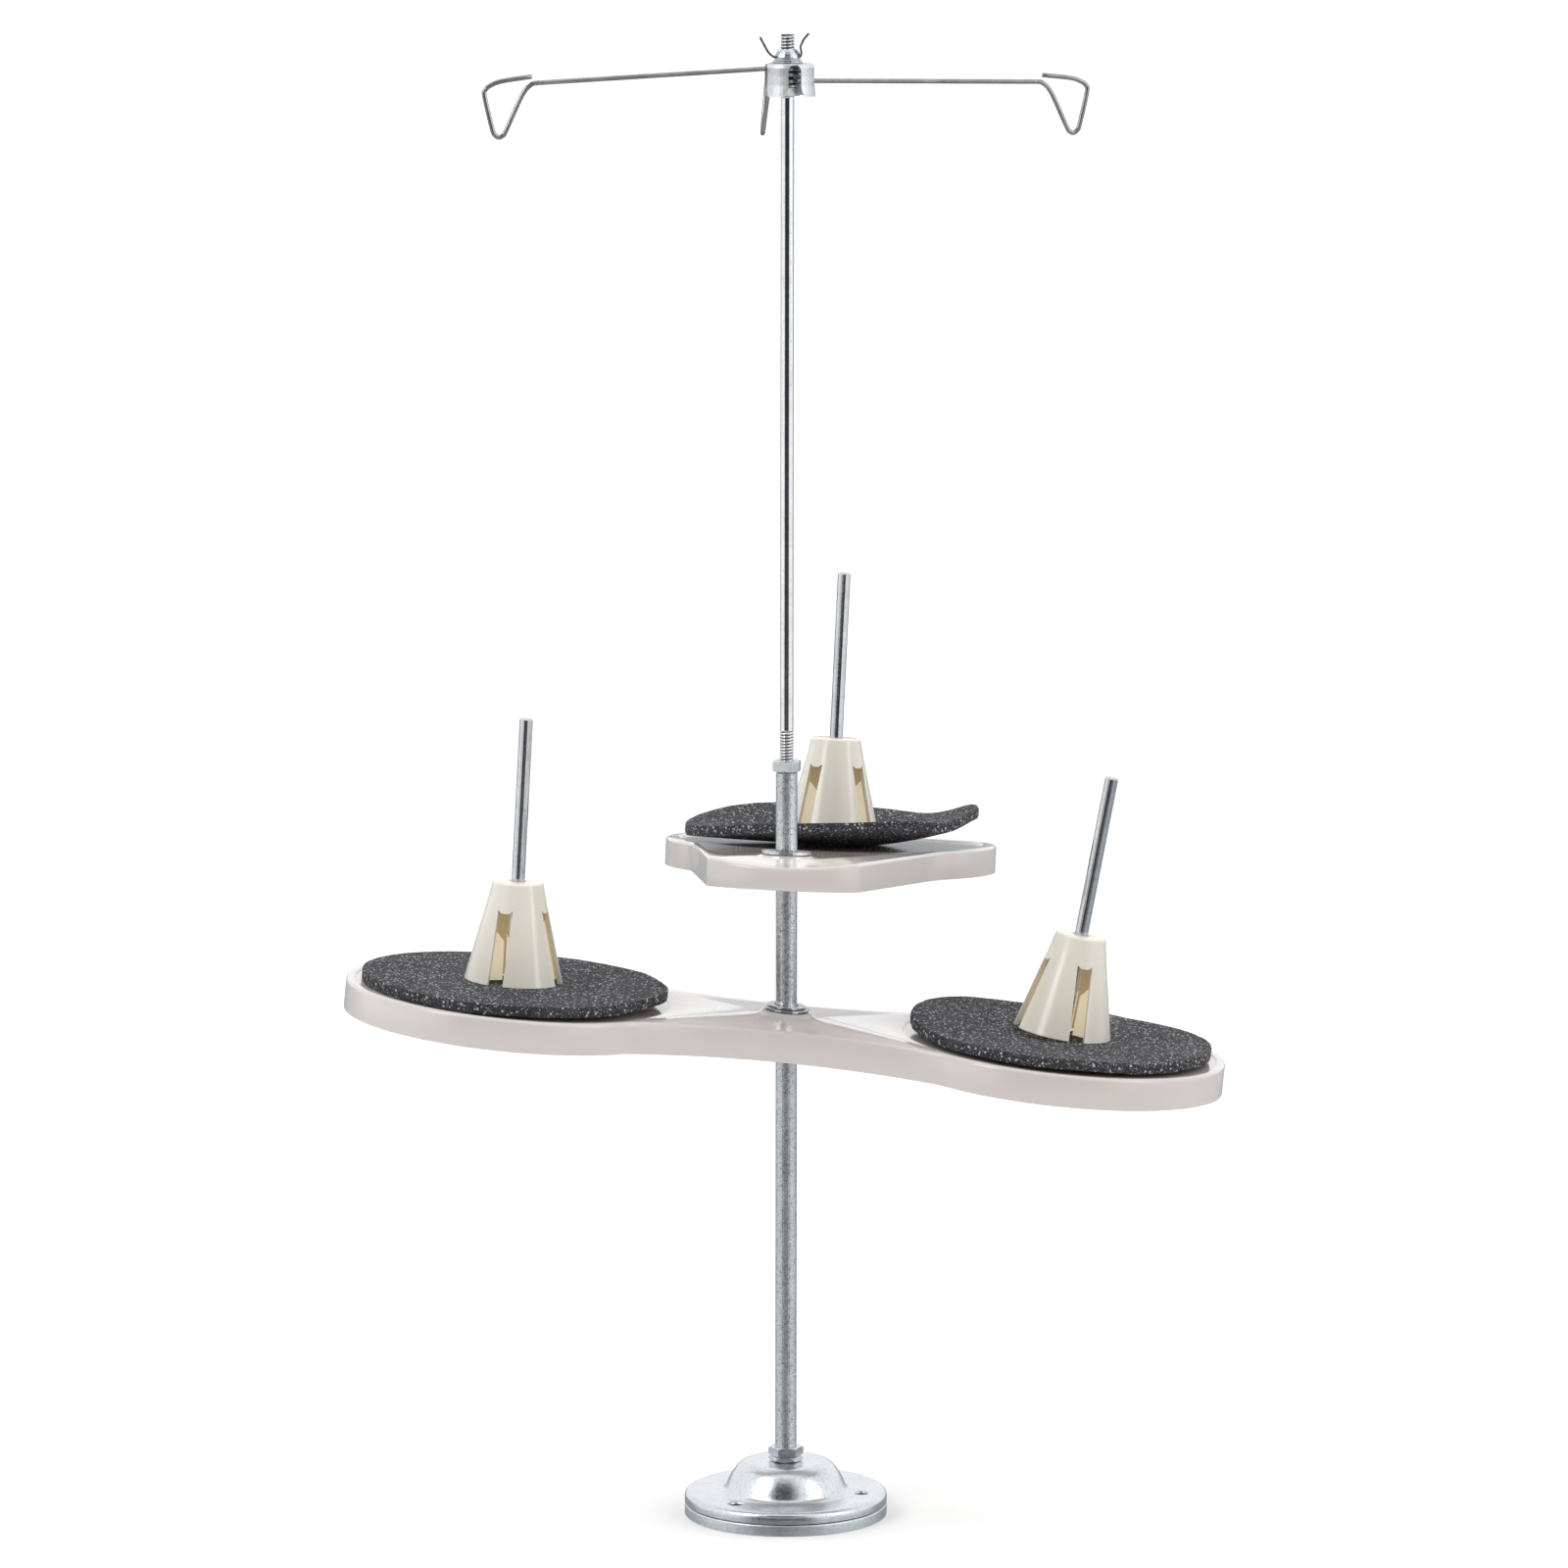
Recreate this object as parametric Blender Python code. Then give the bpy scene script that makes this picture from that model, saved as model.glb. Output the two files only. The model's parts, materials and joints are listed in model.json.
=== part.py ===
"""Three-cone thread stand: domed base, post, two swinging trays with spool pins, wire thread guides on top.

Metres, +Z up, resting on z = 0. The post stands on the Z axis, and the front of the stand faces -Y.
"""

import math

import bmesh
import bpy
from mathutils import Matrix, Vector

MM = 0.001
GAP = 0.3 * MM

# base
FLANGE_R = 42.3 * MM
FLANGE_EDGE_R = 2.2 * MM
FLANGE_SHEET = 1.2 * MM
FLANGE_H = 4.6 * MM
DOME_H = 12.6 * MM
# the dome's concave foot and flank as (radius, height above the plate) in mm
DOME = (
    (28.2, 0.0), (26.9, 0.35), (25.9, 1.0), (25.2, 2.0), (24.2, 4.1), (23.0, 6.4), (21.6, 8.6), (19.8, 10.8),
    (17.6, 12.15), (15.0, 12.6),
)
FLANGE_TURNS = 42
SCREW_PCR = 32.0 * MM
SCREW_R = 2.75 * MM
SCREW_ANGLES = (-130.0, -10.0, 110.0)

# post
COLUMN_R = 4.45 * MM
COLUMN_TOP = 313.2 * MM
COLUMN_BORE_R = 3.45 * MM
COLUMN_BORE_Z = 291.2 * MM
BASE_NUT_AF = 12.8 * MM
BASE_NUT_H = (2.0 * MM, 3.8 * MM)
BASE_NUT_TURN = (-4.0, 4.0)
LOCK_NUT_AF = 11.0 * MM
LOCK_NUT_TURN = 22.0
LOCK_NUT_TOP = 317.9 * MM

# rod
ROD_R = 2.75 * MM
THREAD_R = 3.05 * MM
THREAD_ROOT_R = 2.55 * MM
THREAD_PITCH = 1.27 * MM
ROD_BOTTOM = 294.2 * MM
ROD_THREAD_TOP = 330.2 * MM
ROD_THREAD_LOW = 590.8 * MM
ROD_TOP = 616.2 * MM

# trays
LOWER_LOBE_R = 69.0 * MM
UPPER_LOBE_R = 70.8 * MM
ARM = 114.0 * MM
WAIST = 33.0 * MM
NECK_CURVE_R = 147.0 * MM
NECK_FILLET_R = 12.0 * MM
LOWER_SKIRT = 13.2 * MM
UPPER_SKIRT = 12.0 * MM
TRAY_WALL = 2.0 * MM
TRAY_TOP = 2.2 * MM
TRAY_EDGE_R = 1.6 * MM
RECESS_R = 65.0 * MM
RECESS_DEPTH = 0.7 * MM
LOWER_HUB_UP = 3.0 * MM
UPPER_HUB_UP = 0.8 * MM
HUB_DOWN = 6.5 * MM
HUB_R = 9.6 * MM
HUB_BORE_R = 5.5 * MM
LOWER_TRAY_Z = 210.2 * MM
LOWER_TRAY_ROLL = 5.7
UPPER_TRAY_Z = 277.7 * MM
UPPER_TRAY_YAW = -9.8
UPPER_TRAY_DROOP = -5.9
UPPER_TRAY_ROLL = 1.2
UPPER_FRONT_R = 58.0 * MM
UPPER_CORNER_Y = -27.5 * MM
# the hub end's left and right corners: distance from the tray's middle line, radius
UPPER_CORNERS = ((-28.4 * MM, 3.4 * MM), (33.5 * MM, 14.0 * MM))

# retaining washers
WASHER_R = 9.6 * MM
WASHER_BORE_R = 5.0 * MM
STAR_R = 10.3 * MM
STAR_ROOT_R = 7.8 * MM
STAR_TEETH = 11

# pins, pads and cones
PIN_R = 2.75 * MM
PIN_DOWN = 7.5 * MM
PIN_HOLE_R = 3.4 * MM
COLLAR_R = 5.0 * MM
PIN_NUT_AF = 8.0 * MM
PAD_R = 63.0 * MM
PAD_BOTTOM = -0.4 * MM
PAD_THICK = 4.2 * MM
PAD_HOLE_R = 6.4 * MM
PAD_WELL_R = 26.0 * MM
PAD_WELL = 0.5 * MM
CONE_R = 20.5 * MM
CONE_TOP_R = 10.6 * MM
CONE_H = 42.0 * MM
CONE_WALL = 1.8 * MM
CONE_CAP = 2.4 * MM
CONE_BORE_R = 3.15 * MM
CONE_SLOT_H = 31.0 * MM
CONE_SLOT_W = (6.8 * MM, 6.4 * MM)

# lean to the right and to the back in degrees, angle of the first cone slot, height of the cone's foot and
# height of the pin
SPOOLS = {
    "left": (3.1, 0.0, -110.0, 4.0 * MM, 114.0 * MM),
    "right": (10.5, 0.0, -75.0, 5.2 * MM, 114.0 * MM),
    "rear": (2.7, -4.6, -40.0, 3.0 * MM, 115.8 * MM),
}

# guide head
CUP_TOP = 604.5 * MM
CUP_SHIFT = 0.8 * MM
CUP_SHEET = 1.0 * MM
CUP_R = 10.2 * MM
CUP_FLARE_R = 10.9 * MM
CUP_BOTTOM = 591.0 * MM
CUP_BORE_R = 4.2 * MM
CUP_SLOT_W = 5.3 * MM
CUP_SLOT_FLARE_W = 8.4 * MM
CUP_SLOT_TOP = 604.2 * MM
CUP_SLOT_ANGLES = (12.6, 102.6, -167.4, -77.4)
STOP_NUT_H = 3.4 * MM
WING_SHEET = 0.9 * MM
WING_WIDTH = 7.0 * MM
# the centre lines of the wing nut's two bent wings as (x, height) in mm
WINGS = (
    ((-4.1, 0.9), (-5.6, 1.0), (-7.0, 2.0), (-8.2, 3.4), (-9.6, 6.0), (-11.2, 9.0)),
    ((4.1, 1.0), (5.5, 1.5), (5.6, 2.6), (5.2, 5.2), (6.5, 8.1), (8.6, 10.6)),
)
WIRE_R = 1.0 * MM
WIRE_SIDES = 8
EYE_R = 4.6 * MM
DROOP_START = 10.0 * MM
# direction of the arm in degrees from +X, height at the post, slope, distance to the eyelet, the eyelet's
# sideways lean in degrees
GUIDES = {
    "left": (194.0, 602.2 * MM, -0.049, 104.2 * MM, 0.0),
    "rear": (94.0, 599.9 * MM, -0.093, 107.0 * MM, 5.5),
    "right": (17.0, 597.1 * MM, -0.018, 107.4 * MM, 0.0),
}
# the eyelet's centre line as (distance from its start, height above the arm) in mm
EYELET = (
    (0.0, 0.0),
    (2.6, -0.7),
    (6.2, -4.7),
    (12.8, -18.3),
    (14.2, -20.3),
    (15.9, -20.9),
    (17.5, -19.7),
    (18.5, -17.3),
    (21.6, -3.9),
    (21.2, -1.5),
    (19.2, 0.1),
    (14.4, 1.6),
    (2.4, 2.7),
)


def clear_scene():
    for obj in list(bpy.data.objects):
        bpy.data.objects.remove(obj, do_unlink=True)


def material(name, color, metallic, roughness):
    mat = bpy.data.materials.new(name)
    mat.use_nodes = True
    shader = mat.node_tree.nodes["Principled BSDF"]
    shader.inputs["Base Color"].default_value = (*color, 1.0)
    shader.inputs["Metallic"].default_value = metallic
    shader.inputs["Roughness"].default_value = roughness
    return mat


def finish(bm, name, mat, place=None, smooth_angle=35.0):
    """Turns bm into an object. place is where its local origin sits and how it is turned."""
    bmesh.ops.recalc_face_normals(bm, faces=bm.faces)
    mesh = bpy.data.meshes.new(name)
    bm.to_mesh(mesh)
    bm.free()
    obj = bpy.data.objects.new(name, mesh)
    bpy.context.scene.collection.objects.link(obj)
    if mat is not None:
        mesh.materials.append(mat)
    mesh.shade_smooth()
    mesh.set_sharp_from_angle(angle=math.radians(smooth_angle))
    obj.matrix_world = place or Matrix.Identity(4)
    return obj


def turned(degrees, axis):
    return Matrix.Rotation(math.radians(degrees), 4, axis)


def ring(bm, points):
    return [bm.verts.new(p) for p in points]


def bridge(bm, low, high):
    count = len(low)
    for i in range(count):
        j = (i + 1) % count
        bm.faces.new((low[i], low[j], high[j], high[i]))


def circle(radius, z, turns, phase=0.0):
    step = 2 * math.pi / turns
    angles = [i * step + phase for i in range(turns)]
    return [(radius * math.cos(a), radius * math.sin(a), z) for a in angles]


def lathe(profile, turns, closed=True):
    """Revolves (radius, z) points. closed joins the last point to the first, leaving a bore. If not, both
    ends are capped flat."""
    bm = bmesh.new()
    rings = [ring(bm, circle(r, z, turns)) for r, z in profile]
    for low, high in zip(rings, rings[1:]):
        bridge(bm, low, high)
    if closed:
        bridge(bm, rings[-1], rings[0])
    else:
        bm.faces.new(rings[0])
        bm.faces.new(rings[-1])
    return bm


def washer(outer, bore, low, high, turns=24):
    """A flat ring, its outer edge chamfered at both faces."""
    edge = 0.15 * MM
    under = (bore, low), (outer - edge, low), (outer, low + edge)
    over = (outer, high - edge), (outer - edge, high), (bore, high)
    return lathe(under + over, turns)


def star_washer(outer, root, tip, low, high, teeth):
    """A flat ring with square teeth pointing inwards."""
    turns = 4 * teeth
    step = 2 * math.pi / turns
    bm = bmesh.new()
    rims = [ring(bm, circle(outer, z, turns)) for z in (low, high)]
    inners = []
    for z in (low, high):
        radii = [tip if i % 4 < 2 else root for i in range(turns)]
        points = [(r * math.cos(i * step), r * math.sin(i * step), z) for i, r in enumerate(radii)]
        inners.append(ring(bm, points))
    bridge(bm, rims[0], rims[1])
    bridge(bm, rims[1], inners[1])
    bridge(bm, inners[1], inners[0])
    bridge(bm, inners[0], rims[0])
    return bm


def hex_nut(across, bore, low, high, phase=0.0, turns=18):
    """A hex nut with a round bore: six flats, corners chamfered at both ends."""
    bm = bmesh.new()
    chamfer = 0.07 * across
    levels = []
    for z, trim in ((low, True), (low + chamfer * 0.6, False), (high - chamfer * 0.6, False), (high, True)):
        points = []
        for i in range(turns):
            angle = 2 * math.pi * i / turns
            off = (angle + math.pi / 6) % (math.pi / 3) - math.pi / 6
            radius = across / 2 / math.cos(math.pi / 6 - abs(off))
            if trim:
                radius = min(radius, across / 2 * 1.01)
            points.append((radius * math.cos(angle + phase), radius * math.sin(angle + phase), z))
        levels.append(ring(bm, points))
    inner_low = ring(bm, circle(bore, low, turns, phase))
    inner_high = ring(bm, circle(bore, high, turns, phase))
    for a, b in zip(levels, levels[1:]):
        bridge(bm, a, b)
    bridge(bm, levels[-1], inner_high)
    bridge(bm, inner_high, inner_low)
    bridge(bm, inner_low, levels[0])
    return bm


def prism(outline, low, high):
    bm = bmesh.new()
    bottom = ring(bm, [(x, y, low) for x, y in outline])
    top = ring(bm, [(x, y, high) for x, y in outline])
    bridge(bm, bottom, top)
    bm.faces.new(bottom)
    bm.faces.new(top)
    return bm


def boolean(obj, bm, name, operation="DIFFERENCE", place=None):
    """Cuts bm from obj or joins it on. The helper object isn't part of the stand."""
    helper = finish(bm, name, None, place)
    helper.hide_render = True
    helper.display_type = "WIRE"
    helper.hide_set(True)
    modifier = obj.modifiers.new(name, "BOOLEAN")
    modifier.operation = operation
    modifier.solver = "EXACT"
    modifier.object = helper


def tube(path, radius, sides):
    """A round wire along path, closed at both ends, turned with the path so that it doesn't twist."""
    bm = bmesh.new()
    points = [Vector(p) for p in path]
    tangents = []
    for i, p in enumerate(points):
        before = points[max(i - 1, 0)]
        after = points[min(i + 1, len(points) - 1)]
        tangents.append((after - before).normalized())
    side = tangents[0].orthogonal().normalized()
    rings = []
    for p, tangent in zip(points, tangents):
        side = (side - tangent * side.dot(tangent)).normalized()
        other = tangent.cross(side)
        angles = [2 * math.pi * k / sides for k in range(sides)]
        rings.append(ring(bm, [p + radius * (side * math.cos(a) + other * math.sin(a)) for a in angles]))
    for a, b in zip(rings, rings[1:]):
        bridge(bm, a, b)
    bm.faces.new(rings[0])
    bm.faces.new(rings[-1])
    return bm


def arc(centre, radius, start, end, count):
    """Points on an arc, angles in degrees."""
    found = []
    for i in range(count):
        angle = math.radians(start + (end - start) * i / (count - 1))
        found.append((centre[0] + radius * math.cos(angle), centre[1] + radius * math.sin(angle)))
    return found


def rounded(points, corners, count=4):
    """The outline with each corner, given as {index: radius}, replaced by an arc."""
    found = []
    for i, point in enumerate(points):
        if i not in corners:
            found.append(point)
            continue
        corner = Vector(point)
        u = (Vector(points[i - 1]) - corner).normalized()
        v = (Vector(points[(i + 1) % len(points)]) - corner).normalized()
        half = u.angle(v) / 2
        reach = corners[i] / math.tan(half)
        centre = corner + (u + v).normalized() * (corners[i] / math.sin(half))
        first = corner + u * reach - centre
        last = corner + v * reach - centre
        start = math.atan2(first.y, first.x)
        turn = (math.atan2(last.y, last.x) - start + math.pi) % (2 * math.pi) - math.pi
        degrees = (math.degrees(start), math.degrees(start + turn))
        found += arc(centre, corners[i], *degrees, count)
    return found


def offset(outline, distance):
    """The outline moved inwards by distance, keeping its number of points. It runs anticlockwise."""
    count = len(outline)
    moved = []
    for i in range(count):
        before = (Vector(outline[i]) - Vector(outline[i - 1])).normalized()
        after = (Vector(outline[(i + 1) % count]) - Vector(outline[i])).normalized()
        inward = Vector((-before.y - after.y, before.x + after.x)).normalized()
        reach = distance / math.cos(before.angle(after) / 2)
        moved.append((outline[i][0] + inward.x * reach, outline[i][1] + inward.y * reach))
    return moved


def lobe(radius, join, count=34):
    """A lobe's rim on the +X arm, between the two points where the neck meets it."""
    return arc((ARM, 0.0), radius, -180 + join, 180 - join, count)


def lower_outline():
    """The dog-bone, anticlockwise, both necks waisted at the post."""
    neck = []
    for i in range(-6, 7):
        along = i * 9.0 * MM
        neck.append((along, WAIST + NECK_CURVE_R - math.sqrt(NECK_CURVE_R**2 - along**2)))
    right = lobe(LOWER_LOBE_R, 43.8)
    left = [(-x, -y) for x, y in right]
    points = [(x, -y) for x, y in neck] + right + neck[::-1] + left
    first, last = len(neck), len(neck) + len(right) - 1
    half = len(points) // 2
    return rounded(points, {i: NECK_FILLET_R for i in (first, last, first + half, last + half)})


def upper_outline():
    """One lobe at +Y, straight flared neck sides, and a shallow arc between two corners at the hub end."""
    (left, left_r), (right, right_r) = UPPER_CORNERS
    chord = math.degrees(math.asin((right - left) / 2 / UPPER_FRONT_R))
    centre = ((left + right) / 2, UPPER_CORNER_Y + UPPER_FRONT_R * math.cos(math.radians(chord)))
    front = arc(centre, UPPER_FRONT_R, -90 - chord, -90 + chord, 7)
    rim = [(-y, x) for x, y in lobe(UPPER_LOBE_R, 42.7)]
    points = front + rim
    last = len(points) - 1
    return rounded(points, {0: left_r, 6: right_r, 7: NECK_FILLET_R, last: NECK_FILLET_R})


def tray_form(outline, skirt):
    """The shell's outer form: skirt, rounded top edge, flat top at z = 0."""
    levels = [(0.4 * MM, -skirt), (0.0, -skirt + 0.4 * MM)]
    for degrees in (0.0, 45.0, 90.0):
        angle = math.radians(degrees)
        levels.append((TRAY_EDGE_R * (1 - math.cos(angle)), TRAY_EDGE_R * (math.sin(angle) - 1)))
    bm = bmesh.new()
    rings = []
    for inset, z in levels:
        rings.append(ring(bm, [(x, y, z) for x, y in offset(outline, inset)]))
    for low, high in zip(rings, rings[1:]):
        bridge(bm, low, high)
    bm.faces.new(rings[0])
    bm.faces.new(rings[-1])
    return bm


def tray(name, outline, skirt, hub_up, lobes, place, mat):
    """A tray shell: open underneath, a raised hub with a loose bore, a shallow pad recess on each lobe."""
    obj = finish(tray_form(outline, skirt), name, mat, place)
    hollow = prism(offset(outline, TRAY_WALL), -skirt - 5 * MM, -TRAY_TOP)
    boolean(obj, hollow, name + "_hollow", place=place)
    hub = ((HUB_R, -HUB_DOWN), (HUB_R, -TRAY_TOP - 2 * MM), (HUB_R + 2 * MM, -TRAY_TOP + 0.5 * MM))
    hub += ((HUB_R + 8 * MM, -0.3 * MM), (HUB_R + 4.5 * MM, 0.12 * hub_up), (HUB_R + 2.2 * MM, 0.43 * hub_up))
    hub += ((HUB_R + 1.0 * MM, hub_up - 0.35 * MM), (HUB_R + 0.4 * MM, hub_up))
    boolean(obj, lathe(hub, 40, closed=False), name + "_hub", "UNION", place)
    for i, (x, y) in enumerate(lobes):
        middle = place @ Matrix.Translation((x, y, 0.0))
        recess = lathe(((RECESS_R, -RECESS_DEPTH), (RECESS_R + 0.6 * MM, 2 * MM)), 72, closed=False)
        boolean(obj, recess, f"{name}_recess_{i}", place=middle)
        hole = lathe(((PIN_HOLE_R, -TRAY_TOP - 3 * MM), (PIN_HOLE_R, 3 * MM)), 20, closed=False)
        boolean(obj, hole, f"{name}_pin_hole_{i}", place=middle)
    bore = lathe(((HUB_BORE_R, -HUB_DOWN - 3 * MM), (HUB_BORE_R, hub_up + 3 * MM)), 24, closed=False)
    boolean(obj, bore, name + "_bore", place=place)


def flange(name, base_z, mat):
    """A pressed flange: turned-down rim, flat plate, fillet ring, flat-topped dome bored for the post."""
    top = FLANGE_H
    rise = top + DOME_H
    bore = COLUMN_R + 0.35 * MM
    outer = [(FLANGE_R, 0.0)]
    outer += arc((FLANGE_R - FLANGE_EDGE_R, top - FLANGE_EDGE_R), FLANGE_EDGE_R, 0.0, 90.0, 4)
    outer += [(r * MM, top + z * MM) for r, z in DOME]
    inner = []
    for i, (r, z) in enumerate(outer):
        before = Vector(outer[max(i - 1, 0)])
        after = Vector(outer[min(i + 1, len(outer) - 1)])
        along = (after - before).normalized()
        inner.append((r - along.y * FLANGE_SHEET, z + along.x * FLANGE_SHEET))
    inner[0] = (FLANGE_R - FLANGE_SHEET, 0.0)
    inner[-1] = (bore, rise - FLANGE_SHEET)
    profile = outer + [(bore, rise)] + inner[::-1]
    place = Matrix.Translation((0.0, 0.0, base_z))
    obj = finish(lathe(profile, FLANGE_TURNS), name, mat, place)
    for degrees in SCREW_ANGLES:
        angle = math.radians(degrees)
        middle = (SCREW_PCR * math.cos(angle), SCREW_PCR * math.sin(angle), base_z)
        hole = lathe(((SCREW_R, -5 * MM), (SCREW_R, FLANGE_H + 5 * MM)), 16, closed=False)
        boolean(obj, hole, f"{name}_hole_{int(degrees)}", place=Matrix.Translation(middle))


def thread(low, high):
    """(radius, z) points of a vee thread between two heights."""
    found = []
    for i in range(round((high - low) / THREAD_PITCH)):
        found += [(THREAD_ROOT_R, low + i * THREAD_PITCH), (THREAD_R, low + (i + 0.5) * THREAD_PITCH)]
    return found


def rod(name, mat):
    """The upper rod: plain shank, a short thread in the post and a longer one through the guide head."""
    seat = LOCK_NUT_TOP + 0.2 * MM
    profile = [(THREAD_ROOT_R, ROD_BOTTOM), (THREAD_R, ROD_BOTTOM + 0.6 * MM), (THREAD_R, seat)]
    profile += thread(seat + 0.4 * MM, ROD_THREAD_TOP)
    profile += [(ROD_R, ROD_THREAD_TOP + 0.3 * MM), (ROD_R, ROD_THREAD_LOW)]
    profile += [(THREAD_R, ROD_THREAD_LOW + 0.4 * MM), (THREAD_R, CUP_TOP + 1.8 * MM)]
    profile += thread(CUP_TOP + 2.0 * MM, ROD_TOP - 0.3 * MM)
    profile += [(THREAD_ROOT_R - 0.3 * MM, ROD_TOP)]
    return finish(lathe(profile, 14, closed=False), name, mat)


def column(name, mat):
    """The post, flush with the underside of the base, bored at its top for the rod."""
    edge = 0.5 * MM
    profile = [(COLUMN_R - edge, 0.0), (COLUMN_R, edge), (COLUMN_R, COLUMN_TOP - edge)]
    profile += [(COLUMN_R - edge, COLUMN_TOP), (COLUMN_BORE_R, COLUMN_TOP), (COLUMN_BORE_R, COLUMN_BORE_Z)]
    return finish(lathe(profile, 32, closed=False), name, mat)


def retainer(name, frame, height, form, mat):
    """A washer on a tray's hub, tilted with the tray and centred on the post."""
    up = frame.to_3x3().inverted() @ Vector((0.0, 0.0, 1.0))
    centre = Matrix.Translation((up.x / up.z * height, up.y / up.z * height, height))
    return finish(form, name, mat, frame @ centre)


def pin(name, place, height, mat):
    """A spool pin: threaded foot, collar under the pad, shank, chamfered top. Its origin is on the tray."""
    foot = (PIN_R - 0.4 * MM, -PIN_DOWN), (PIN_R, -PIN_DOWN + 0.4 * MM), (PIN_R, 0.8 * MM)
    collar = (COLLAR_R, 0.8 * MM), (COLLAR_R, 1.9 * MM), (PIN_R, 1.9 * MM)
    top = (PIN_R, height - 0.7 * MM), (PIN_R - 0.6 * MM, height)
    finish(lathe((*foot, *collar, *top), 24, closed=False), name, mat, place)


def pad(name, middle, place, lift, mat):
    """A flat foam disc, sunk a little round the cone, whose foot is pressed into it where the pin leans."""
    top = PAD_BOTTOM + PAD_THICK
    profile = [(PAD_HOLE_R, PAD_BOTTOM), (PAD_R, PAD_BOTTOM), (PAD_R, top), (PAD_WELL_R, top)]
    profile += [(PAD_WELL_R - 2 * MM, top - PAD_WELL), (PAD_HOLE_R, top - PAD_WELL)]
    obj = finish(lathe(profile, 56), name, mat, middle)
    press = lathe(((CONE_R + 0.5 * MM, lift - GAP), (CONE_R + 0.5 * MM, lift + 9 * MM)), 40, closed=False)
    boolean(obj, press, name + "_press", place=place)


def cone(name, place, first_slot, foot, mat):
    """A hollow cone on four legs, capped, with a rib inside each leg. Its origin is on the pin's axis."""
    slope = (CONE_R - CONE_TOP_R) / (CONE_H - 2 * MM)
    top = foot + CONE_H
    outer = [(CONE_R - 0.3 * MM, foot), (CONE_R, foot + 0.6 * MM)]
    outer += [(CONE_TOP_R + slope * 1.5 * MM, top - 1.2 * MM), (CONE_TOP_R - 0.2 * MM, top - 0.3 * MM)]
    outer += [(CONE_TOP_R - 0.9 * MM, top), (CONE_BORE_R, top)]
    inner = [(CONE_BORE_R, top - CONE_CAP), (CONE_TOP_R - CONE_WALL + slope * CONE_CAP, top - CONE_CAP)]
    inner += [(CONE_R - CONE_WALL, foot)]
    obj = finish(lathe(outer + inner, 48), name, mat, place)
    wall = CONE_R - CONE_WALL * 0.5
    for i in range(4):
        turn = Matrix.Rotation(math.radians(first_slot + 90 * i), 4, "Z")
        half = (CONE_SLOT_W[0] / 2, CONE_SLOT_W[1] / 2)
        outline = [(-half[0], foot - 2 * MM), (half[0], foot - 2 * MM)]
        outline += [(half[1], foot + CONE_SLOT_H), (-half[1], foot + CONE_SLOT_H)]
        upright = Matrix(((0, 0, 1, 0), (1, 0, 0, 0), (0, 1, 0, 0), (0, 0, 0, 1)))
        slot = prism(outline, 5.5 * MM, 26 * MM)
        boolean(obj, slot, f"{name}_slot_{i}", place=place @ turn @ upright)
    for i in range(4):
        turn = Matrix.Rotation(math.radians(first_slot + 45 + 90 * i), 4, "Z")
        high = foot + 0.62 * CONE_H
        shell = wall - slope * (high - foot)
        outline = [(5.2 * MM, foot + 0.3 * MM), (wall, foot + 0.3 * MM)]
        outline += [(shell, high), (5.2 * MM, foot + 0.4 * CONE_H)]
        flat = Matrix.Rotation(math.radians(90), 4, "X")
        rib = prism(outline, -0.8 * MM, 0.8 * MM)
        boolean(obj, rib, f"{name}_rib_{i}", "UNION", place @ turn @ flat)


def guide(name, degrees, height, slope, reach, lean, mat):
    """A bent wire: ring round the rod, straight drooping arm, triangular eyelet hanging at the end."""
    path = [Vector((x, y, 0.0)) for x, y in arc((0.0, 0.0), EYE_R, 45.0, 318.0, 15)]
    path += [Vector((x * MM, y * MM, 0.0)) for x, y in ((5.2, -1.9), (6.9, -0.7), (8.4, -0.1))]
    path.append(Vector((DROOP_START, 0.0, 0.0)))
    for x, z in EYELET:
        along = reach + x * MM
        sideways = -z * MM * math.sin(math.radians(lean))
        path.append(Vector((along, sideways, slope * (along - DROOP_START) + z * MM)))
    place = Matrix.Translation((0.0, 0.0, height)) @ Matrix.Rotation(math.radians(degrees), 4, "Z")
    finish(tube(path, WIRE_R, WIRE_SIDES), name, mat, place, 60.0)


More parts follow.
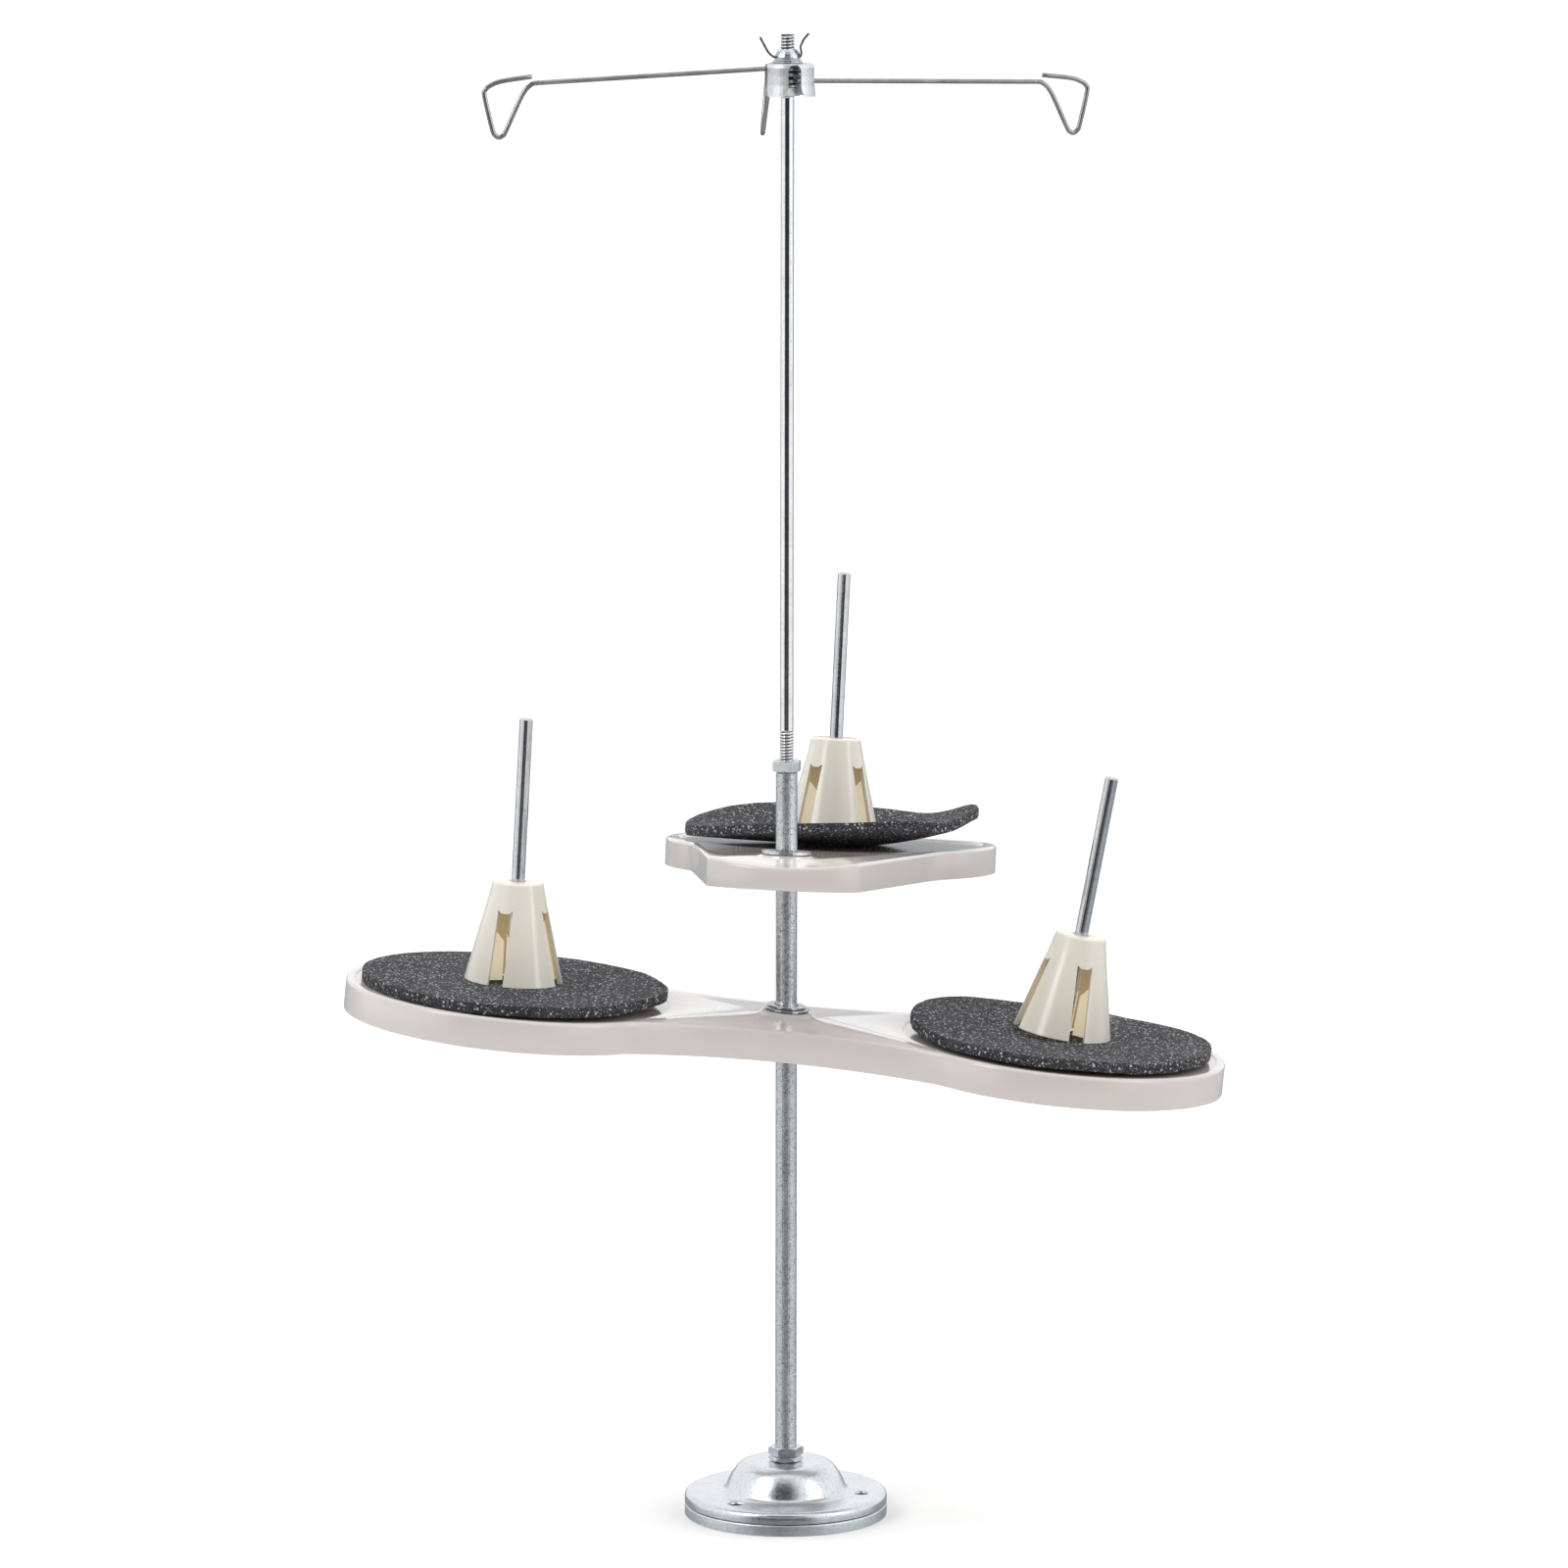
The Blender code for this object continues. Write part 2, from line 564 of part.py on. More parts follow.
def cup(name, mat):
    """A stamped bell over the wires: flat crown, four arched slots that open out at the flared lower edge."""
    sheet = CUP_SHEET
    foot = CUP_BOTTOM - CUP_TOP
    outer = [(CUP_BORE_R, 0.0), (CUP_R - 1.6 * MM, 0.0), (CUP_R - 0.5 * MM, -0.5 * MM), (CUP_R, -1.7 * MM)]
    outer += [(CUP_R - 0.1 * MM, -5.0 * MM), (CUP_R + 0.05 * MM, foot + 4.6 * MM)]
    outer += [(CUP_R + 0.4 * MM, foot + 2.2 * MM), (CUP_FLARE_R, foot)]
    inner = [(CUP_FLARE_R - sheet, foot), (CUP_R + 0.4 * MM - sheet, foot + 2.2 * MM)]
    inner += [(CUP_R + 0.05 * MM - sheet, foot + 4.6 * MM), (CUP_R - 0.1 * MM - sheet, -5.0 * MM)]
    inner += [(CUP_R - sheet, -1.9 * MM), (CUP_R - 1.7 * MM, -sheet), (CUP_BORE_R, -sheet)]
    place = Matrix.Translation((CUP_SHIFT, 0.0, CUP_TOP))
    obj = finish(lathe(outer + inner, 48), name, mat, place)
    half = CUP_SLOT_W / 2
    flare = CUP_SLOT_FLARE_W / 2
    high = CUP_SLOT_TOP - CUP_TOP
    outline = [(-flare - 1 * MM, foot - 2 * MM), (flare + 1 * MM, foot - 2 * MM), (flare, foot + 0.4 * MM)]
    outline += [(half + 0.3 * MM, foot + 2.6 * MM), (half, foot + 4.4 * MM)]
    outline += arc((0.0, high - half), half, 0.0, 180.0, 9)
    outline += [(-half, foot + 4.4 * MM), (-half - 0.3 * MM, foot + 2.6 * MM), (-flare, foot + 0.4 * MM)]
    upright = Matrix(((0, 0, 1, 0), (1, 0, 0, 0), (0, 1, 0, 0), (0, 0, 0, 1)))
    for i, degrees in enumerate(CUP_SLOT_ANGLES):
        turn = Matrix.Rotation(math.radians(degrees - 90), 4, "Z")
        boolean(obj, prism(outline, 7.9 * MM, 14 * MM), f"{name}_slot_{i}", place=place @ turn @ upright)


def strip(path, thick):
    """The outline of a thin strip that follows path."""
    left, right = [], []
    for i, point in enumerate(path):
        before = Vector(path[max(i - 1, 0)])
        after = Vector(path[min(i + 1, len(path) - 1)])
        along = (after - before).normalized() * thick / 2
        left.append((point[0] - along.y, point[1] + along.x))
        right.append((point[0] + along.y, point[1] - along.x))
    return right + left[::-1]


def wing_nut(name, base_z, mat):
    """A pressed wing nut: rounded boss and two thin bent wings, broad from front to back."""
    place = Matrix.Translation((0.0, 0.0, base_z))
    boss = ((3.35, 0.0), (5.3, 0.0), (5.4, 1.0), (5.1, 2.1), (4.5, 3.2), (3.9, 4.0), (3.35, 4.0))
    obj = finish(lathe([(r * MM, z * MM) for r, z in boss], 28), name, mat, place)
    flat = Matrix.Rotation(math.radians(90), 4, "X")
    for i, wing in enumerate(WINGS):
        outline = strip([(x * MM, z * MM) for x, z in wing], WING_SHEET)
        shape = prism(outline, -WING_WIDTH / 2, WING_WIDTH / 2)
        boolean(obj, shape, f"{name}_wing_{i}", "UNION", place @ flat)


def main():
    clear_scene()
    zinc = material("zinc_plate", (0.62, 0.65, 0.70), 1.0, 0.32)
    galvanised = material("galvanised_post", (0.52, 0.55, 0.60), 1.0, 0.45)
    bright = material("bright_rod", (0.70, 0.71, 0.74), 1.0, 0.22)
    wire = material("guide_wire", (0.42, 0.43, 0.45), 1.0, 0.25)
    plastic = material("tray_plastic", (0.83, 0.81, 0.78), 0.0, 0.22)
    ivory = material("cone_plastic", (0.86, 0.84, 0.72), 0.0, 0.3)
    foam = material("pad_foam", (0.07, 0.07, 0.08), 0.0, 0.95)

    flange("base_flange_lower", 0.0, zinc)
    flange("base_flange_upper", FLANGE_H + GAP, zinc)
    dome_top = 2 * FLANGE_H + GAP + DOME_H
    nut_bore = COLUMN_R + GAP
    foot = dome_top + 0.2 * MM
    for name, height, turn in zip(("base_nut_lower", "base_nut_upper"), BASE_NUT_H, BASE_NUT_TURN):
        finish(hex_nut(BASE_NUT_AF, nut_bore, foot, foot + height, math.radians(turn)), name, zinc)
        foot += height + 0.2 * MM
    finish(hex_nut(BASE_NUT_AF, nut_bore, 9.4 * MM, 14.4 * MM, 0.0, 12), "base_under_nut", zinc)
    column("column", galvanised)
    turn = math.radians(LOCK_NUT_TURN)
    finish(hex_nut(LOCK_NUT_AF, THREAD_R + GAP, COLUMN_TOP + GAP, LOCK_NUT_TOP, turn), "column_lock_nut", zinc)
    rod("upper_rod", bright)

    lower = Matrix.Translation((0.0, 0.0, LOWER_TRAY_Z)) @ turned(LOWER_TRAY_ROLL, "Y")
    upper = Matrix.Translation((0.0, 0.0, UPPER_TRAY_Z)) @ turned(UPPER_TRAY_YAW, "Z")
    upper = upper @ turned(UPPER_TRAY_ROLL, "Y") @ turned(UPPER_TRAY_DROOP, "X")
    tray("tray_lower", lower_outline(), LOWER_SKIRT, LOWER_HUB_UP, ((-ARM, 0.0), (ARM, 0.0)), lower, plastic)
    tray("tray_upper", upper_outline(), UPPER_SKIRT, UPPER_HUB_UP, ((0.0, ARM),), upper, plastic)
    seat = LOWER_HUB_UP + GAP
    under = -HUB_DOWN - GAP - 1.2 * MM
    flat = washer(WASHER_R, WASHER_BORE_R, 0.0, 1.0 * MM)
    spring = retainer("tray_lower_spring_washer", lower, seat, flat, zinc)
    split = ((4.0 * MM, 0.2 * MM), (11.0 * MM, -1.2 * MM), (11.0 * MM, -0.2 * MM), (4.0 * MM, 1.2 * MM))
    split = prism(split, -1.0 * MM, 2.0 * MM)
    boolean(spring, split, "tray_lower_spring_washer_split", place=spring.matrix_world.copy())
    small = washer(WASHER_R - 1.4 * MM, WASHER_BORE_R, 0.0, 0.9 * MM)
    retainer("tray_lower_top_washer", lower, seat + 1.2 * MM, small, zinc)
    star = star_washer(STAR_R, STAR_ROOT_R, WASHER_BORE_R, 0.0, 1.2 * MM, STAR_TEETH)
    retainer("tray_upper_star_washer", upper, UPPER_HUB_UP + GAP, star, zinc)
    for name, frame in (("lower", lower), ("upper", upper)):
        plain = washer(WASHER_R, WASHER_BORE_R, 0.0, 1.2 * MM)
        retainer(f"tray_{name}_under_washer", frame, under, plain, zinc)

    seats = {"left": (lower, (-ARM, 0.0)), "right": (lower, (ARM, 0.0)), "rear": (upper, (0.0, ARM))}
    for name, (lean_right, lean_back, first_slot, lift, height) in SPOOLS.items():
        frame, (x, y) = seats[name]
        middle = frame @ Matrix.Translation((x, y, 0.0))
        lean = turned(lean_right, "Y") @ turned(lean_back, "X")
        place = Matrix.Translation(middle.translation) @ lean
        pin("spool_pin_" + name, place, height, bright)
        nut = hex_nut(PIN_NUT_AF, PIN_R + GAP, -6.0 * MM, -3.0 * MM, 0.0, 12)
        finish(nut, "pin_nut_" + name, zinc, place)
        pad("foam_pad_" + name, middle, place, lift, foam)
        cone("spool_cone_" + name, place, first_slot, lift, ivory)

    stop_top = GUIDES["right"][1] - WIRE_R - GAP
    finish(washer(6.4 * MM, THREAD_R + GAP, stop_top - 0.9 * MM, stop_top), "guide_spacer_washer", zinc)
    nut_top = stop_top - 0.9 * MM - 0.2 * MM
    stop_nut = hex_nut(10.0 * MM, THREAD_R + GAP, nut_top - STOP_NUT_H, nut_top, math.radians(20))
    finish(stop_nut, "guide_stop_nut", zinc)
    for name, (degrees, height, slope, reach, lean) in GUIDES.items():
        guide("thread_guide_" + name, degrees, height, slope, reach, lean, wire)
    cup("guide_cup", zinc)
    foot = CUP_TOP + 0.2 * MM
    for name, outer in (("guide_top_washer", 6.4 * MM), ("guide_lock_washer", 5.8 * MM)):
        finish(washer(outer, THREAD_R + GAP, foot, foot + 0.5 * MM), name, zinc)
        foot += 0.65 * MM
    wing_nut("wing_nut", foot, zinc)


main()
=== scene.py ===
import json
import math

import bmesh
import bpy
from mathutils import Matrix, Quaternion, Vector, noise


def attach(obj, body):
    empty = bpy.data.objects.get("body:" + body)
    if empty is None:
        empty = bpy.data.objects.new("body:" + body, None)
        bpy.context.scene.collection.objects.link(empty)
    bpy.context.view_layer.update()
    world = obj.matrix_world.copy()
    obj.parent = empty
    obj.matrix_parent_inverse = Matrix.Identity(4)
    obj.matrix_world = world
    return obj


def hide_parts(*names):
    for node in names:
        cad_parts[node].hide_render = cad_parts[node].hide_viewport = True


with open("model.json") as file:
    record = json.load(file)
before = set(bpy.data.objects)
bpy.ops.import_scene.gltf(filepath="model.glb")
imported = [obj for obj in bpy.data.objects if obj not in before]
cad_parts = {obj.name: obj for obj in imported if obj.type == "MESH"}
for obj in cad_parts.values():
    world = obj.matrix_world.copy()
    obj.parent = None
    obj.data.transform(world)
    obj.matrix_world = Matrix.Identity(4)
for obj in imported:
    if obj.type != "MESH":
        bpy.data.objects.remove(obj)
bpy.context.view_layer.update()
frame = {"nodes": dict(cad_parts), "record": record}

# lengths in the shape tables are in mm
MM = 0.001

# the trays' frames, as in the CAD: swing, roll and droop of each about its hub on the post
LOWER = Matrix.Translation((0, 0, 0.2102)) @ Matrix.Rotation(math.radians(5.7), 4, "Y")
UPPER = (
    Matrix.Translation((0, 0, 0.2777))
    @ Matrix.Rotation(math.radians(-9.8), 4, "Z")
    @ Matrix.Rotation(math.radians(1.2), 4, "Y")
    @ Matrix.Rotation(math.radians(-5.9), 4, "X")
)
# from a tray's hub to the middle of its lobe
ARM = 114 * MM


# ---------------------------------------------------------------- materials


def new_material(name):
    mat = bpy.data.materials.new(name)
    mat.use_nodes = True
    tree = mat.node_tree
    shader = tree.nodes["Principled BSDF"]
    return mat, tree, shader


def node(tree, kind, **settings):
    made = tree.nodes.new(kind)
    for key, value in settings.items():
        setattr(made, key, value)
    return made


def coords(tree, scale=(1, 1, 1)):
    """Object coordinates in metres, stretched."""
    source = node(tree, "ShaderNodeTexCoord")
    mapping = node(tree, "ShaderNodeMapping")
    mapping.inputs["Scale"].default_value = scale
    tree.links.new(source.outputs["Object"], mapping.inputs["Vector"])
    return mapping.outputs["Vector"]


def ramp(tree, source, stops):
    made = node(tree, "ShaderNodeValToRGB")
    elements = made.color_ramp.elements
    while len(elements) < len(stops):
        elements.new(0.5)
    for element, (position, color) in zip(elements, stops):
        element.position = position
        element.color = (*color, 1)
    tree.links.new(source, made.inputs["Fac"])
    return made.outputs["Color"]


def grey_ramp(tree, source, stops):
    """A ramp of greys, from pairs of position and brightness."""
    return ramp(tree, source, [(p, (v, v, v)) for p, v in stops])


def noise_of(tree, vector, scale, detail, roughness, distortion=0.0):
    """Noise with scale features a metre."""
    made = node(tree, "ShaderNodeTexNoise")
    made.inputs["Scale"].default_value = scale
    made.inputs["Detail"].default_value = detail
    made.inputs["Roughness"].default_value = roughness
    made.inputs["Distortion"].default_value = distortion
    tree.links.new(vector, made.inputs["Vector"])
    return made.outputs["Fac"]


def cells_of(tree, vector, scale, feature="F1"):
    made = node(tree, "ShaderNodeTexVoronoi", feature=feature)
    made.inputs["Scale"].default_value = scale
    tree.links.new(vector, made.inputs["Vector"])
    return made


def bump(tree, height, distance, strength=1.0, under=None):
    """A bump up to distance metres high, on top of the one in under."""
    made = node(tree, "ShaderNodeBump")
    made.inputs["Distance"].default_value = distance
    made.inputs["Strength"].default_value = strength
    tree.links.new(height, made.inputs["Height"])
    if under is not None:
        tree.links.new(under, made.inputs["Normal"])
    return made.outputs["Normal"]


def mix(tree, factor, a, b, blend="MIX"):
    """A colour mix. a, b and factor are sockets or plain values."""
    made = node(tree, "ShaderNodeMix", data_type="RGBA", blend_type=blend)
    if isinstance(factor, float):
        made.inputs["Factor"].default_value = factor
    else:
        tree.links.new(factor, made.inputs["Factor"])
    for socket, value in (("A", a), ("B", b)):
        target = [s for s in made.inputs if s.name == socket and s.type == "RGBA"][0]
        if isinstance(value, tuple):
            target.default_value = (*value, 1)
        else:
            tree.links.new(value, target)
    return [s for s in made.outputs if s.type == "RGBA"][0]


def metal(name, low, high, rough, grain, grain_depth, streak=None, speckle=0.72):
    """Plated steel: colour clouds from low to high, a fine crystalline grain, optional drawn lines along Z.

    rough is the range of the roughness, grain the scale of the grain, grain_depth its height in metres,
    streak the scale of the drawn lines, and speckle the grain's darkest tone."""
    mat, tree, shader = new_material(name)
    link = tree.links.new
    place = coords(tree)
    clouds = noise_of(tree, place, 90.0, detail=4.0, roughness=0.6)
    fine = noise_of(tree, place, grain, detail=4.0, roughness=0.7)
    speck = noise_of(tree, place, grain * 2.6, detail=2.0, roughness=0.6)
    tint = ramp(tree, clouds, [(0.3, low), (0.7, high)])
    dirt = grey_ramp(tree, fine, [(0.25, speckle), (0.5, 0.97), (1.0, 1.0)])
    color = mix(tree, 1.0, tint, dirt, "MULTIPLY")
    link(color, shader.inputs["Base Color"])
    shader.inputs["Metallic"].default_value = 1.0
    uneven = mix(tree, 0.5, clouds, fine)
    link(grey_ramp(tree, uneven, [(0.3, rough[0]), (0.7, rough[1])]), shader.inputs["Roughness"])
    height = mix(tree, 0.5, fine, speck)
    normal = bump(tree, height, grain_depth)
    if streak:
        lines = noise_of(tree, coords(tree, (1, 1, 0.012)), streak, detail=2.0, roughness=0.6)
        normal = bump(tree, lines, grain_depth * 0.7, 0.6, normal)
    link(normal, shader.inputs["Normal"])
    return mat


def plastic(name, base, shade, rough, peel, gloss, depth, reach, glow=0.0):
    """Moulded plastic: colour drift from shade to base, faint orange peel, a few dull smudges in its gloss.

    rough is the range of the roughness, peel the height of the orange peel, gloss the clear coat's weight,
    and depth and reach the weight and radius of the light under the surface. glow stands for light that has
    come through the walls."""
    mat, tree, shader = new_material(name)
    link = tree.links.new
    place = coords(tree)
    broad = noise_of(tree, place, 14.0, detail=3.0, roughness=0.5)
    fine = noise_of(tree, place, 420.0, detail=3.0, roughness=0.55)
    smudge = noise_of(tree, place, 55.0, detail=5.0, roughness=0.65, distortion=0.6)
    link(ramp(tree, broad, [(0.3, shade), (0.65, base)]), shader.inputs["Base Color"])
    link(grey_ramp(tree, smudge, [(0.35, rough[0]), (0.75, rough[1])]), shader.inputs["Roughness"])
    waves = bump(tree, broad, 0.0006, 0.35)
    link(bump(tree, fine, peel, 0.5, waves), shader.inputs["Normal"])
    shader.inputs["Coat Weight"].default_value = gloss
    shader.inputs["Coat Roughness"].default_value = 0.06
    shader.inputs["Subsurface Weight"].default_value = depth
    shader.inputs["Subsurface Radius"].default_value = reach
    shader.inputs["Subsurface Scale"].default_value = 1.0
    shader.inputs["Emission Color"].default_value = (*base, 1)
    shader.inputs["Emission Strength"].default_value = glow
    return mat


# per metre: cells of the foam. Flecks: scale, size within the cell, share of cells without one, brightness
FOAM_CELLS = 1150.0
FLECKS = ((620.0, 0.38, 0.58, 0.54), (1080.0, 0.36, 0.52, 0.38))


def foam_material(name):
    """Open-cell charcoal foam: dark pores between paler cell walls, and a scatter of light flecks."""
    mat, tree, shader = new_material(name)
    link = tree.links.new
    place = coords(tree)
    pores = cells_of(tree, place, FOAM_CELLS)
    walls = cells_of(tree, place, FOAM_CELLS, "DISTANCE_TO_EDGE")
    broad = noise_of(tree, place, 40.0, detail=3.0, roughness=0.6)
    grain = noise_of(tree, place, 900.0, detail=2.0, roughness=0.7)
    tones = [(0.0, (0.014, 0.014, 0.016)), (0.35, (0.04, 0.04, 0.044)), (0.8, (0.08, 0.08, 0.088))]
    body = ramp(tree, pores.outputs["Distance"], tones)
    mottle = mix(tree, 0.6, broad, grain)
    body = mix(tree, 1.0, body, grey_ramp(tree, mottle, [(0.36, 0.5), (0.64, 1.35)]), "MULTIPLY")
    for scale, size, share, tone in FLECKS:
        flecks = cells_of(tree, place, scale)
        dot = grey_ramp(tree, flecks.outputs["Distance"], [(size * 0.55, 1.0), (size, 0.0)])
        chosen = grey_ramp(tree, flecks.outputs["Color"], [(share - 0.02, 0.0), (share + 0.02, 1.0)])
        body = mix(tree, mix(tree, 1.0, dot, chosen, "MULTIPLY"), body, (tone, tone, tone * 1.04))
    link(body, shader.inputs["Base Color"])
    shader.inputs["Roughness"].default_value = 0.95
    shader.inputs["Specular IOR Level"].default_value = 0.25
    coarse = bump(tree, broad, 0.0008, 0.5)
    link(bump(tree, walls.outputs["Distance"], 0.0006, 0.9, coarse), shader.inputs["Normal"])
    return mat


ZINC = metal("zinc_plate", (0.60, 0.645, 0.69), (0.72, 0.755, 0.785), (0.16, 0.26), 800.0, 0.0001)
DULL = metal("zinc_dull", (0.56, 0.60, 0.61), (0.70, 0.735, 0.745), (0.3, 0.42), 520.0, 0.00022)
SATIN = metal("zinc_satin", (0.66, 0.675, 0.70), (0.76, 0.765, 0.78), (0.42, 0.56), 800.0, 0.00004)
POST = metal(
    "galvanised_post", (0.58, 0.61, 0.635), (0.72, 0.74, 0.76), (0.2, 0.32), 620.0, 0.00028, speckle=0.42
)
BRIGHT = metal(
    "bright_rod", (0.70, 0.715, 0.74), (0.83, 0.84, 0.86), (0.05, 0.12), 500.0, 0.00002, streak=900.0
)
PIN = metal(
    "bright_pin", (0.52, 0.535, 0.56), (0.66, 0.67, 0.69), (0.07, 0.18), 500.0, 0.00002, streak=900.0
)
# painted shade: a near-black metal for the thread's root, where shade falls in the groove
ROOT_SHADE = metal("thread_root_painted_shade", (0.10, 0.10, 0.11), (0.19, 0.19, 0.2), (0.35, 0.55), 700.0, 0.00002)
WIRE = metal("guide_wire", (0.27, 0.28, 0.29), (0.42, 0.425, 0.435), (0.16, 0.3), 700.0, 0.00003)
TRAY = plastic(
    "tray_plastic", base=(0.61, 0.565, 0.54), shade=(0.585, 0.54, 0.515), rough=(0.08, 0.18),
    peel=0.00004, gloss=0.6, depth=0.08, reach=(0.004, 0.003, 0.002),
)
IVORY = plastic(
    "cone_plastic", base=(0.775, 0.735, 0.65), shade=(0.74, 0.70, 0.615), rough=(0.16, 0.3),
    peel=0.00006, gloss=0.35, depth=0.25, reach=(0.003, 0.0025, 0.002),
)
# painted glow: a warmer, faintly emitting copy of the cone plastic for its inner faces, standing in for
# light come through the thin walls
INSIDE_GLOW = plastic(
    "cone_inside_painted_glow", base=(0.68, 0.575, 0.39), shade=(0.61, 0.51, 0.33), rough=(0.3, 0.45),
    peel=0.00006, gloss=0.0, depth=0.2, reach=(0.003, 0.0025, 0.002), glow=0.13,
)
# painted glow: a paler, brighter emitting copy of the cone plastic for the ribs' sides, standing in for
# light come through the walls
RIB_GLOW = plastic(
    "cone_rib_painted_glow", base=(0.84, 0.78, 0.63), shade=(0.80, 0.73, 0.57), rough=(0.3, 0.45),
    peel=0.00006, gloss=0.0, depth=0.2, reach=(0.003, 0.0025, 0.002), glow=0.42,
)
FOAM = foam_material("pad_foam")
LOOKS = {
    "zinc_plate": ZINC,
    "galvanised_post": POST,
    "bright_rod": BRIGHT,
    "guide_wire": WIRE,
    "tray_plastic": TRAY,
    "cone_plastic": IVORY,
    "pad_foam": FOAM,
}


def dress_cad():
    """Gives every CAD node the look of its material slot, or its own where its finish differs."""
    slots = {s["node"]: s["material_slot"] for s in frame["record"]["subparts"]}
    for name, obj in frame["nodes"].items():
        look = LOOKS[slots[name]]
        if name == "guide_cup":
            look = SATIN
        elif name.startswith("spool_pin"):
            look = PIN
        if not obj.data.materials:
            obj.data.materials.append(look)
        for i in range(len(obj.material_slots)):
            obj.material_slots[i].material = look


# ---------------------------------------------------------------- mesh helpers

# the angles of a rounded edge
QUARTER = [math.radians(15 * i) for i in range(7)]


def clamped(value):
    return min(1.0, max(0.0, value))


def make(name, bm, look, body, replaced, angle):
    """A piece that rides on body and stands for the CAD node replaced. Edges past angle stay sharp."""
    bmesh.ops.recalc_face_normals(bm, faces=bm.faces)
    mesh = bpy.data.meshes.new(name)
    bm.to_mesh(mesh)
    bm.free()
    obj = bpy.data.objects.new(name, mesh)
    bpy.context.scene.collection.objects.link(obj)
    mesh.materials.append(look)
    mesh.shade_smooth()
    mesh.set_sharp_from_angle(angle=math.radians(angle))
    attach(obj, body)
    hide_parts(replaced)
    return obj


def bridge(bm, low, high):
    """A band of quads between two closed rings."""
    count = len(low)
    for i in range(count):
        j = (i + 1) % count
        bm.faces.new((low[i], low[j], high[j], high[i]))


def turned(count, radius_at, z):
    """A ring of points whose radius depends on the angle."""
    found = []
    for i in range(count):
        angle = i * (2 * math.pi / count)
        radius = radius_at(angle)
        found.append(Vector((radius * math.cos(angle), radius * math.sin(angle), z)))
    return found


def tube(path, radius, sides):
    """A round wire along the path, with its ends turned in."""
    bm = bmesh.new()
    tangents = []
    for i in range(len(path)):
        tangents.append((path[min(i + 1, len(path) - 1)] - path[max(i - 1, 0)]).normalized())
    side = tangents[0].orthogonal().normalized()
    angles = [2 * math.pi * k / sides for k in range(sides)]
    rings = []
    for p, tangent in zip(path, tangents):
        side = (side - tangent * side.dot(tangent)).normalized()
        other = tangent.cross(side)
        spokes = [side * math.cos(a) + other * math.sin(a) for a in angles]
        rings.append([bm.verts.new(p + radius * spoke) for spoke in spokes])
    for a, b in zip(rings, rings[1:]):
        bridge(bm, a, b)
    for last, way in ((rings[0], -tangents[0]), (rings[-1], tangents[-1])):
        centre = sum((v.co for v in last), Vector()) / sides
        small = [bm.verts.new(centre + (v.co - centre) * 0.7 + way * radius * 0.35) for v in last]
        bridge(bm, last, small)
        bm.faces.new(small)
    return bm


def smooth_path(points, steps=5):
    """A Catmull-Rom curve through the points."""
    points = [Vector(p) for p in points]
    padded = [points[0] * 2 - points[1]] + points + [points[-1] * 2 - points[-2]]
    found = []
    for i in range(1, len(padded) - 2):
        a, b, c, d = padded[i - 1:i + 3]
        for k in range(steps):
            t = k / steps
            square = (2 * a - 5 * b + 4 * c - d) * t**2
            cube = (3 * b - a - 3 * c + d) * t**3
            found.append(0.5 * (2 * b + (c - a) * t + square + cube))
    found.append(points[-1])
    return found


def lathe_rings(bm, profile, turns):
    """A ring for each radius and height, in mm."""
    return [[bm.verts.new(p) for p in turned(turns, lambda a, r=r: r * MM, z * MM)] for r, z in profile]


def cut(obj, cutter_bm, operation="DIFFERENCE"):
    """Cuts cutter_bm from obj for good, or joins it on."""
    bmesh.ops.recalc_face_normals(cutter_bm, faces=cutter_bm.faces)
    mesh = bpy.data.meshes.new("cutter")
    cutter_bm.to_mesh(mesh)
    cutter_bm.free()
    cutter = bpy.data.objects.new("cutter", mesh)
    bpy.context.scene.collection.objects.link(cutter)
    modifier = obj.modifiers.new("cut", "BOOLEAN")
    modifier.operation = operation
    modifier.solver = "EXACT"
    modifier.object = cutter
    fresh = bpy.data.meshes.new_from_object(obj.evaluated_get(bpy.context.evaluated_depsgraph_get()))
    obj.modifiers.clear()
    obj.data = fresh
    bpy.data.objects.remove(cutter, do_unlink=True)


def solid_of(profile, turns, x=0.0, y=0.0, z=0.0):
    """A turned solid, capped at both ends."""
    bm = bmesh.new()
    rings = lathe_rings(bm, profile, turns)
    for a, b in zip(rings, rings[1:]):
        bridge(bm, a, b)
    bm.faces.new(rings[0])
    bm.faces.new(rings[-1])
    bmesh.ops.translate(bm, vec=(x * MM, y * MM, z * MM), verts=bm.verts)
    return bm


def prism(outline, low, high, place):
    """A straight block with the outline, in mm, placed by place."""
    bm = bmesh.new()
    ends = [[bm.verts.new(place @ (Vector((x, y, z)) * MM)) for x, y in outline] for z in (low, high)]
    bridge(bm, *ends)
    bm.faces.new(ends[0])
    bm.faces.new(ends[1])
    return bm


# ---------------------------------------------------------------- the rod

ROD_TOP = 616.2 * MM
PITCH = 1.27 * MM
THREAD_ROOT_R, THREAD_CREST_R, SHANK_R, ROD_END_R = 2.52 * MM, 3.06 * MM, 2.75 * MM, 2.35 * MM
# start of the plain shank, start and end of the thread above it, length of the thread's run-out at its end
ROD_LENGTHS = ((294.2 * MM, 317.2 * MM, 330.6 * MM, 0.9 * MM), (331.0 * MM, 590.4 * MM, 615.8 * MM, 0.0))
# the thread deepens over RUN_IN, and the shank stays straight up to LEAD below it
RUN_IN, LEAD = 0.8 * MM, 0.4 * MM
LEVELS_PER_TURN = 7
# faces nearer to the axis than this get the painted shade of the thread's root
SHADED_ROOT_R = 2.7 * MM


